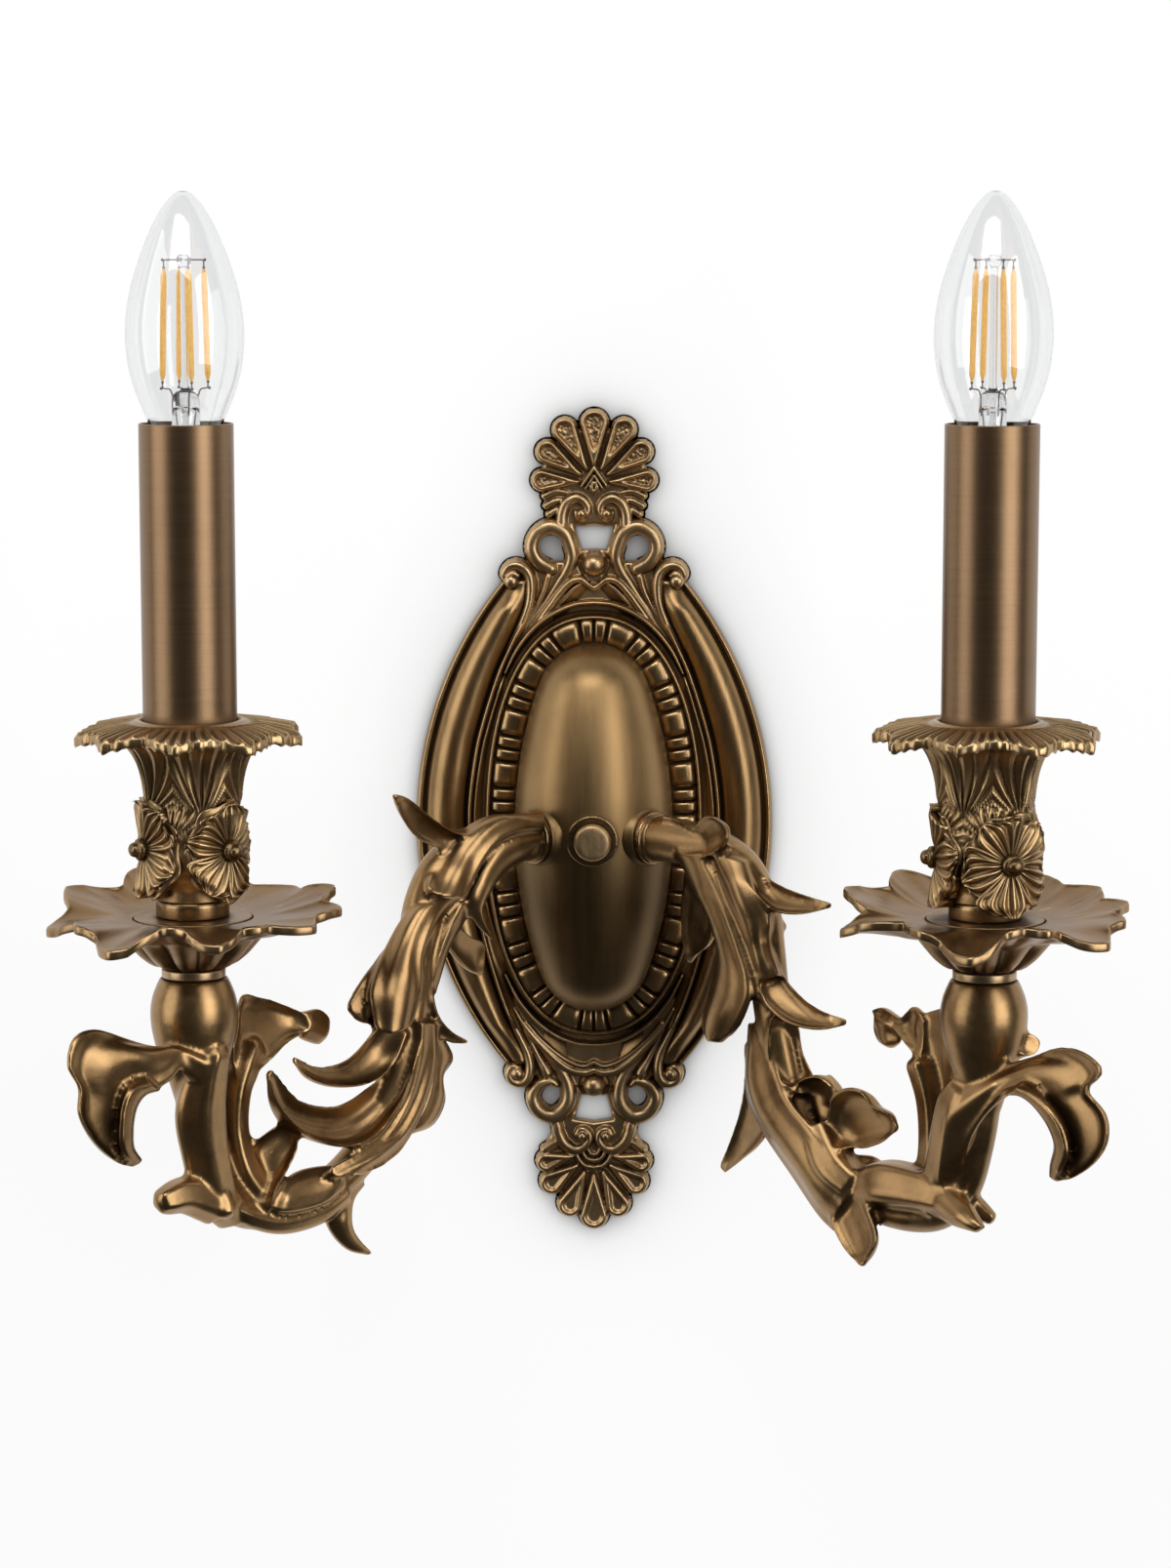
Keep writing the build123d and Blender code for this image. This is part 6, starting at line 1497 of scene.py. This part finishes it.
def dish(side, word, tips):
    """The leafy dish: lobed wavy rim, smooth hollow, bowl with leaf relief below."""
    around = 540
    rings = Rings(around)
    turn, ring = rings.turn, rings.add
    rim = np.full(around, DISH_RADIUS)
    wave = np.zeros(around)
    weight = np.full(around, 0.35)
    for middle, reach, lift, half in tips:
        off = wrapped(turn, middle)
        lean = off + 2.5 * np.sign(lift + 0.1)
        shape = np.clip(1 - np.abs(lean) / (half * 1.12), 0, 1)
        lobe_out = DISH_RADIUS + (reach - DISH_RADIUS) * np.where(shape > 0, shape**0.55, 0)
        tooth = 0.6 * np.clip(1 - np.abs(np.abs(off) - half * 0.55) / 2.2, 0, 1)
        rim = np.maximum(rim, lobe_out - tooth)
        pull = np.exp(-((off / (half * 0.9)) ** 2))
        wave += 1.45 * lift * pull
        weight += pull
    wave = wave / np.maximum(weight, 1)
    for _ in range(6):
        rim = (np.roll(rim, 1) + 2 * rim + np.roll(rim, -1)) / 4
    share = np.linspace(0, 1, 30) ** 0.9
    veins = np.cos(rings.angle * 26)
    ring(BORE_RADIUS, -25.98)
    ring(8.3, -25.98)
    flutes = np.abs(np.cos(np.radians(turn) * 5.5 + 0.4)) ** 0.7
    curl = np.cos(np.radians(turn) * 11 + 1.3)
    for radius, height in ((8.9, -25.9), (9.6, -25.5), (10.8, -24.9), (12.2, -24.0), (13.6, -22.9), (15.0, -21.7),
                           (16.2, -20.4), (17.4, -19.0), (18.6, -17.6), (20.0, -16.3), (21.6, -15.3)):
        deep = ease(radius, 8.5, 11.5) * (1 - ease(radius, 18.5, 23.5))
        ring(radius + deep * (2.3 * flutes - 1.3 + 0.4 * curl), height - 0.35 * deep * flutes)
    for s in share[1:]:
        radius = BOWL_RADIUS + (rim - BOWL_RADIUS) * s
        fall = wave * s**1.6
        base = -15.3 + 4.9 * ease(s, 0, 0.9) + 0.35 * veins * np.sin(np.pi * s) * 0.6
        ring(radius, base + fall)
    ring(rim + 0.12, rings.rows[-1][1] + 0.35)
    ring(rim + 0.12, rings.rows[-2][1] + 2.5 - 0.45)
    for s in share[::-1]:
        radius = 19.2 + (rim - 19.2) * s
        fall = wave * s**1.6
        top = -10.75 + 2.9 * s**1.5 + 0.22 * veins * np.sin(np.pi * s) * s + 0.35 * np.exp(-(((1 - s) / 0.05) ** 2))
        ring(radius - 0.25 * (s > 0.999), top + fall)
    seat_and_socket = [(18.5, -10.85), (18.1, -11.0), (17.9, -11.4), (17.85, -11.85), (17.0, -11.82), (15.6, -11.82),
                       (12.4, -20.4), (8.0, -22.9), (BORE_RADIUS, -22.95)]
    for radius, height in seat_and_socket:
        ring(radius, height)
    rings.piece(word + "_leaf_dish", side, pan_brass, word + "_drip_pan")


# ---------------------------------------------------------------- candle cups
def cup_casting(side, word, first, tips_from):
    """The cast cup: lance leaves fanning up to the flange, and the ragged flange with its fine ridges."""
    rings = Rings(576)
    turn, angle, ring = rings.turn, rings.angle, rings.add
    body = smooth_line([(11.0, -5.0), (11.0, -3.2), (11.05, -1.2), (12.2, 1.2), (13.6, 4.2), (14.4, 9.0),
                        (14.3, 14.0), (13.6, 19.0), (13.2, 24.0), (13.5, 29.0), (14.6, 34.0), (16.4, 38.4),
                        (18.8, 41.6), (21.4, 43.2)], 7)
    sector = 360 / 5
    local = wrapped(turn, first) % sector - sector / 2
    odd = wrapped(turn, first + sector / 2) % sector - sector / 2
    ring(BORE_RADIUS, -4.98)
    ring(10.6, -4.98)
    for radius, height in body:
        arc = np.radians(local) * radius
        fan = np.arctan2(arc, height - 20.5)
        leaves = np.abs(np.sin(fan * 14.0)) ** 0.55
        vein = 0.25 * np.cos(fan * 28.0) ** 8
        upper = ease(height, 21.0, 26.0)
        arc_odd = np.radians(odd) * radius
        fan_odd = np.arctan2(arc_odd, height - 14.0)
        under = np.abs(np.sin(fan_odd * 11.0)) ** 0.6
        middle = ease(height, 12.0, 18.0) * (1 - upper)
        fanned = 1.7 * leaves + vein - 0.7 + 0.9 * np.cos(np.radians(local) * 5)
        swell = upper * fanned + middle * (1.3 * under - 0.2)
        rough = 0.35 * (1 - upper) * ease(height, 0, 4) * np.sin(angle * 7 + height * 0.8)
        rough = rough * np.sin(angle * 5 - height * 0.5)
        top = 1 - ease(height, 41.5, 43.3) * 0.5
        ring(radius + swell * top + rough, height)
    ridges = np.cos(angle * 54 + 1.4 * np.sin(angle * 7))
    lobe_turn = wrapped(turn, tips_from) % 40 - 20
    lobe = np.clip(1 - np.abs(lobe_turn) / 20, 0, 1)
    scallop = np.abs(np.sin(np.radians((turn - tips_from) * 4.5)))
    teeth = 1.5 * np.abs(np.cos(np.radians(turn - tips_from) * 11.25 + 0.5 * np.sin(angle * 5))) ** 0.5
    rim = 29.0 + 4.0 * lobe**1.6 + teeth + 0.4 * scallop
    droop = -1.9 * lobe**1.4 + 0.6 * np.cos(angle * 3 + 0.6)
    for share in (0.15, 0.35, 0.6, 0.85):
        radius = 21.4 + (rim - 21.4) * share
        ring(radius, 43.2 + 0.6 * share + droop * share * 0.9 - 0.35 * ridges * share)
    ring(rim - 0.2, 43.5 + droop - 0.4 * ridges)
    ring(rim + 0.12 * ridges, 44.0 + droop)
    ring(rim + 0.18 * ridges, 45.9 + droop)
    ring(rim - 0.6, 46.7 + droop + 0.25 * ridges)
    for share in np.linspace(0.94, 0.0, 14):
        radius = 17.0 + (rim - 17.0) * share
        height = 48.2 - 1.9 * share**1.3 + droop * share**1.5
        fine = 0.75 * ridges * ease(share, 0.02, 0.3)
        lobe_vein = 0.45 * lobe**4 * share
        ring(radius, height + fine + lobe_vein)
    for radius, height in ((16.6, 48.6), (15.8, 48.95), (15.0, 48.95), (14.5, 48.7), (14.35, 48.2), (14.35, 44.0),
                           (11.0, 44.0), (11.0, 20.0), (11.0, -1.0), (BORE_RADIUS, -1.0)):
        ring(radius, height)
    rings.piece(word + "_cup_casting", side, cup_brass, word + "_candle_cup")


def petal_shape(rib=0.62, rim=0.95, size=1.0, level=0.0):
    """One petal pointing up local Y, its face to local Z, one side a little over its neighbour."""
    rows, columns = 26, 41
    length = np.linspace(0, 1, rows)[:, None]
    s = np.linspace(-1, 1, columns)[None]
    reach = 1.0 + 14.2 * length * np.ones_like(s)
    half = 1.1 + 9.4 * np.sin(length * np.pi * 0.60) ** 1.1
    end = np.sqrt(np.clip(1 - ease(length, 0.6, 1.02) ** 2 * 0.86, 0, 1))
    x = s * half * end
    round_off = 1.9 * s**2 * length**2
    y = reach - round_off
    cup = 1.4 + 2.1 * length**1.2 - 1.1 * ease(length, 0.75, 1.0) - 0.9 * (s**2) * length
    edge = rim * np.exp(-(((1 - np.abs(s)) / 0.15) ** 2)) * length + 0.9 * rim * np.exp(-(((1 - length) / 0.08) ** 2))
    ribs = rib * np.cos(s * np.pi * 6.5) * ease(length, 0.05, 0.35) * (1 - 0.8 * ease(length, 0.86, 1.0)) * (1 - s**6)
    z = cup + ribs + edge + 0.75 * s * length + level
    x, y = x * size, y * size
    front = np.stack([x, y, z], axis=-1).reshape(-1, 3)
    back = np.stack([x * 0.97, y - 0.25 * length, np.full_like(z, -2.6)], axis=-1).reshape(-1, 3)
    count = rows * columns
    faces = grid_faces(rows, columns) + [[k + count for k in f][::-1] for f in grid_faces(rows, columns)]
    loop = list(range(columns)) + [r * columns + columns - 1 for r in range(1, rows)]
    loop += [(rows - 1) * columns + k for k in range(columns - 2, -1, -1)]
    loop += [r * columns for r in range(rows - 2, 0, -1)]
    faces += [[b, a, a + count, b + count] for a, b in zip(loop, loop[1:] + loop[:1])]
    return np.vstack([front, back]), faces


def bud_shape():
    """The round button in the middle of a flower."""
    outline = rounded([(0.0, -1.0), (3.2, -1.0), (3.4, 2.8), (3.0, 3.6), (2.3, 3.9), (2.2, 4.6), (1.8, 5.4),
                       (1.0, 5.9), (0.0, 6.05)], 0.3)
    flat = spin_points(outline, 28).reshape(-1, 3)
    faces = grid_faces(len(outline), 28, wrap_columns=True)
    return flat, faces


def flower_tree():
    """Turns petals round a middle, adds the button, and wraps the flower on an upright round wall."""
    tree = Tree("flower on a wall")
    petals = tree.named("Petals", "Int", 5)
    petal = tree.named("Petal", "Object")
    button = tree.named("Button", "Object")
    phase = tree.named("First petal turn", "Float", 0.0)
    radius = tree.named("Wall radius", "Float", 0.014)
    azimuth = tree.named("Place round the wall", "Float", 0.0)
    middle = tree.named("Middle", "Vector")
    seed = tree.named("Seed", "Int", 3)
    material = tree.named("Material", "Material")
    maths = tree.maths
    number = tree.add("GeometryNodeInputIndex").outputs[0]
    step = maths("DIVIDE", 2 * math.pi, petals)
    turned = maths("ADD", maths("MULTIPLY", number, step), phase)
    points = tree.add("GeometryNodePoints", {"Count": petals}).outputs[0]
    turns = tree.add("ShaderNodeCombineXYZ", {"Z": turned}).outputs[0]
    shape = tree.add("GeometryNodeObjectInfo", {"Object": petal}).outputs["Geometry"]
    chance = tree.add("FunctionNodeRandomValue",
                      {"Min": (0.90, 0.90, 0.95), "Max": (1.05, 1.04, 1.1), "Seed": seed}, data_type="FLOAT_VECTOR")
    placed = tree.add("GeometryNodeInstanceOnPoints",
                      {"Points": points, "Instance": shape, "Rotation": turns, "Scale": chance.outputs[0]})
    pin = tree.add("GeometryNodeObjectInfo", {"Object": button}).outputs["Geometry"]
    joined = tree.add("GeometryNodeJoinGeometry")
    tree.group.links.new(placed.outputs[0], joined.inputs[0])
    tree.group.links.new(pin, joined.inputs[0])
    laid = tree.add("GeometryNodeRealizeInstances", {0: joined.outputs[0]}).outputs[0]
    flat = tree.add("ShaderNodeSeparateXYZ", {0: tree.add("GeometryNodeInputPosition").outputs[0]})
    bend = maths("ADD", azimuth, maths("DIVIDE", flat.outputs[0], maths("MULTIPLY", radius, 1.12)))
    away = maths("ADD", radius, flat.outputs[2])
    x = maths("MULTIPLY", away, maths("SINE", bend))
    y = maths("MULTIPLY", maths("MULTIPLY", away, maths("COSINE", bend)), -1.0)
    spot = tree.add("ShaderNodeCombineXYZ", {"X": x, "Y": y, "Z": flat.outputs[1]}).outputs[0]
    whole = tree.add("ShaderNodeVectorMath", {0: spot, 1: middle}, operation="ADD").outputs[0]
    bent = tree.add("GeometryNodeSetPosition", {"Geometry": laid, "Position": whole}).outputs[0]
    return tree.finish(bent, material)


cup_brass = aged_brass("cup brass", (0.34, 0.22, 0.105, 1), (0.075, 0.043, 0.022, 1), 0.35, wear=0.75, pits=0.09,
                       strokes=0.2)
petals = {"left": hidden_shape("petal", *petal_shape()), "right": hidden_shape("wide_petal", *petal_shape(size=1.06))}
back_petal = hidden_shape("back_petal", *petal_shape(0.0, 0.35, 1.1, -0.9))
button = hidden_shape("flower_button", *bud_shape())
flowers = flower_tree()
for side, word, tips, places, first, start in ((-1, "left", LEFT_TIPS, (55, -65, 175), -17, 18),
                                               (1, "right", RIGHT_TIPS, (25, -95, 145), 2, 0)):
    dish(side, word, tips)
    cup_casting(side, word, first, start)
    for number, azimuth in enumerate(places):
        values = {"Petals": 5, "Petal": petals[word], "Button": button,
                  "First petal turn": 0.35 + 0.5 * number + 0.3 * side, "Wall radius": 13.6 * MM,
                  "Place round the wall": math.radians(azimuth),
                  "Middle": Vector((side * CANDLE_X, CANDLE_Y, 9.1 - 1.5 * side)) * MM, "Seed": number + 3,
                  "Material": cup_brass}
        bloom = grown(word + "_flower_" + "abc"[number], flowers, [(0, 0, 0)], [], values)
        outward(bloom)
        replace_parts(bloom, word + "_candle_cup")
        values.update({"Petal": back_petal, "First petal turn": values["First petal turn"] + 0.63, "Petals": 4})
        leafy = grown(word + "_flower_leaves_" + "abc"[number], flowers, [(0, 0, 0)], [], values)
        outward(leafy)
        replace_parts(leafy, word + "_candle_cup")


# ---------------------------------------------------------------- camera, light and wall
# The camera stands a little to the right of the middle and looks slightly down.
CAMERA_TURN = math.radians(0.95)
CAMERA_LIFT = math.radians(8.0)
CAMERA_AIM = (-1.877, -60.0, 21.166)
CAMERA_DISTANCE = 1222.33
CAMERA_LENS = 36.0 * 4000.0 / 1607.0
WALL_WHITE = 0.875
PAINTED_SHADOW_REACH = 0.036


def set_stage():
    """The camera, three soft lights, a faint even glow and the white wall, whose glow carries a painted shadow round
    the plate.
    """
    scene = bpy.context.scene
    camera = bpy.data.cameras.new("camera")
    viewer = bpy.data.objects.new("camera", camera)
    scene.collection.objects.link(viewer)
    level = math.cos(CAMERA_LIFT)
    back = Vector((math.sin(CAMERA_TURN) * level, -math.cos(CAMERA_TURN) * level, math.sin(CAMERA_LIFT)))
    viewer.location = Vector(CAMERA_AIM) * MM + back * CAMERA_DISTANCE * MM
    viewer.rotation_euler = back.to_track_quat("Z", "Y").to_euler()
    camera.sensor_fit = "AUTO"
    camera.sensor_width = 36.0
    camera.lens = CAMERA_LENS
    camera.clip_start = 0.05
    camera.clip_end = 20.0
    scene.camera = viewer

    def panel(name, size, spot, aim, power):
        light = bpy.data.lights.new(name, "AREA")
        light.shape = "RECTANGLE"
        light.size, light.size_y = size
        light.energy = power
        lamp = bpy.data.objects.new(name, light)
        lamp.location = spot
        lamp.rotation_euler = (Vector(spot) - Vector(aim)).to_track_quat("Z", "Y").to_euler()
        scene.collection.objects.link(lamp)

    # name, size, place and aim in metres, and power in watts
    panel("left_panel", (0.80, 1.35), (-1.15, -0.62, 0.32), (0, -0.10, 0.05), 7.6)
    panel("right_panel", (0.80, 1.35), (0.98, -1.05, 0.32), (0, -0.10, 0.05), 13.0)
    panel("top_panel", (1.10, 0.60), (-0.15, -0.95, 1.10), (0, -0.05, 0.02), 8.6)
    world = bpy.data.worlds.new("studio")
    scene.world = world
    world.use_nodes = True
    world.node_tree.nodes["Background"].inputs[0].default_value = (1, 1, 1, 1)
    world.node_tree.nodes["Background"].inputs[1].default_value = 0.05

    wall_mat = bpy.data.materials.new("white wall")
    wall_mat.use_nodes = True
    tree = wall_mat.node_tree
    tree.nodes.clear()
    out = tree.nodes.new("ShaderNodeOutputMaterial")
    paths = node(tree, "ShaderNodeLightPath").outputs
    seen = math_node(tree, "MAXIMUM", paths["Is Camera Ray"], paths["Is Transmission Ray"])
    seen = math_node(tree, "MAXIMUM", seen, paths["Is Glossy Ray"])
    where = node(tree, "ShaderNodeTexCoord").outputs["Object"]
    plaster = noise_at(tree, where, 40.0, 3.0, 0.5)
    paint = node(tree, "ShaderNodeBsdfDiffuse")
    tone = ramp(tree, plaster, [(0.3, 0.79), (0.7, 0.82)])
    tree.links.new(blend_colours(tree, seen, tone, (0.15, 0.15, 0.15, 1)), paint.inputs[0])
    # Painted shadow: the wall's glow dims where ambient occlusion finds the plate close by.
    shade = node(tree, "ShaderNodeAmbientOcclusion", samples=24)
    shade.inputs["Distance"].default_value = PAINTED_SHADOW_REACH
    painted_shadow = ramp(tree, shade.outputs["AO"], [(0.30, 0.10), (0.60, 0.38), (0.82, 0.68), (0.95, 0.90), (1.0, 1.0)])
    glow = node(tree, "ShaderNodeEmission")
    tree.links.new(math_node(tree, "MULTIPLY", math_node(tree, "MULTIPLY", painted_shadow, WALL_WHITE), seen), glow.inputs[1])
    lit = node(tree, "ShaderNodeAddShader")
    tree.links.new(paint.outputs[0], lit.inputs[0])
    tree.links.new(glow.outputs[0], lit.inputs[1])
    clear = node(tree, "ShaderNodeBsdfTransparent")
    pick = node(tree, "ShaderNodeMixShader")
    tree.links.new(node(tree, "ShaderNodeNewGeometry").outputs["Backfacing"], pick.inputs[0])
    tree.links.new(lit.outputs[0], pick.inputs[1])
    tree.links.new(clear.outputs[0], pick.inputs[2])
    tree.links.new(pick.outputs[0], out.inputs[0])
    points = [(x, 0.4, z) for z in (-1000, 1400) for x in (-1600, 1600)]
    wall = make_piece("white_wall", points, [[0, 1, 3, 2]], wall_mat, body=None)
    scene.view_settings.view_transform = "Standard"


finishes = {"zinc_steel": zinc, "raw_brass": raw_brass, "block_plastic": block_white,
            "holder_plastic": holder_black, "lead_sheath": lead_clear, "cap_metal": cap_nickel,
            "black_glass": glass_black, "solder": dull_solder, "wire_metal": wire_grey, "filament": amber,
            "lamp_glass": lamp_glass, "stem_glass": stem_glass, "sleeve_brass": sleeve_brass,
            "antique_brass": turned_brass}
for kept in frame["nodes"].values():
    for surface in kept.material_slots:
        surface.material = finishes[surface.material.name.split(".")[0]]
for shape in [o for o in bpy.data.objects if o.type == "MESH" and o.hide_render and "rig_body" not in o]:
    bpy.data.objects.remove(shape)
set_stage()
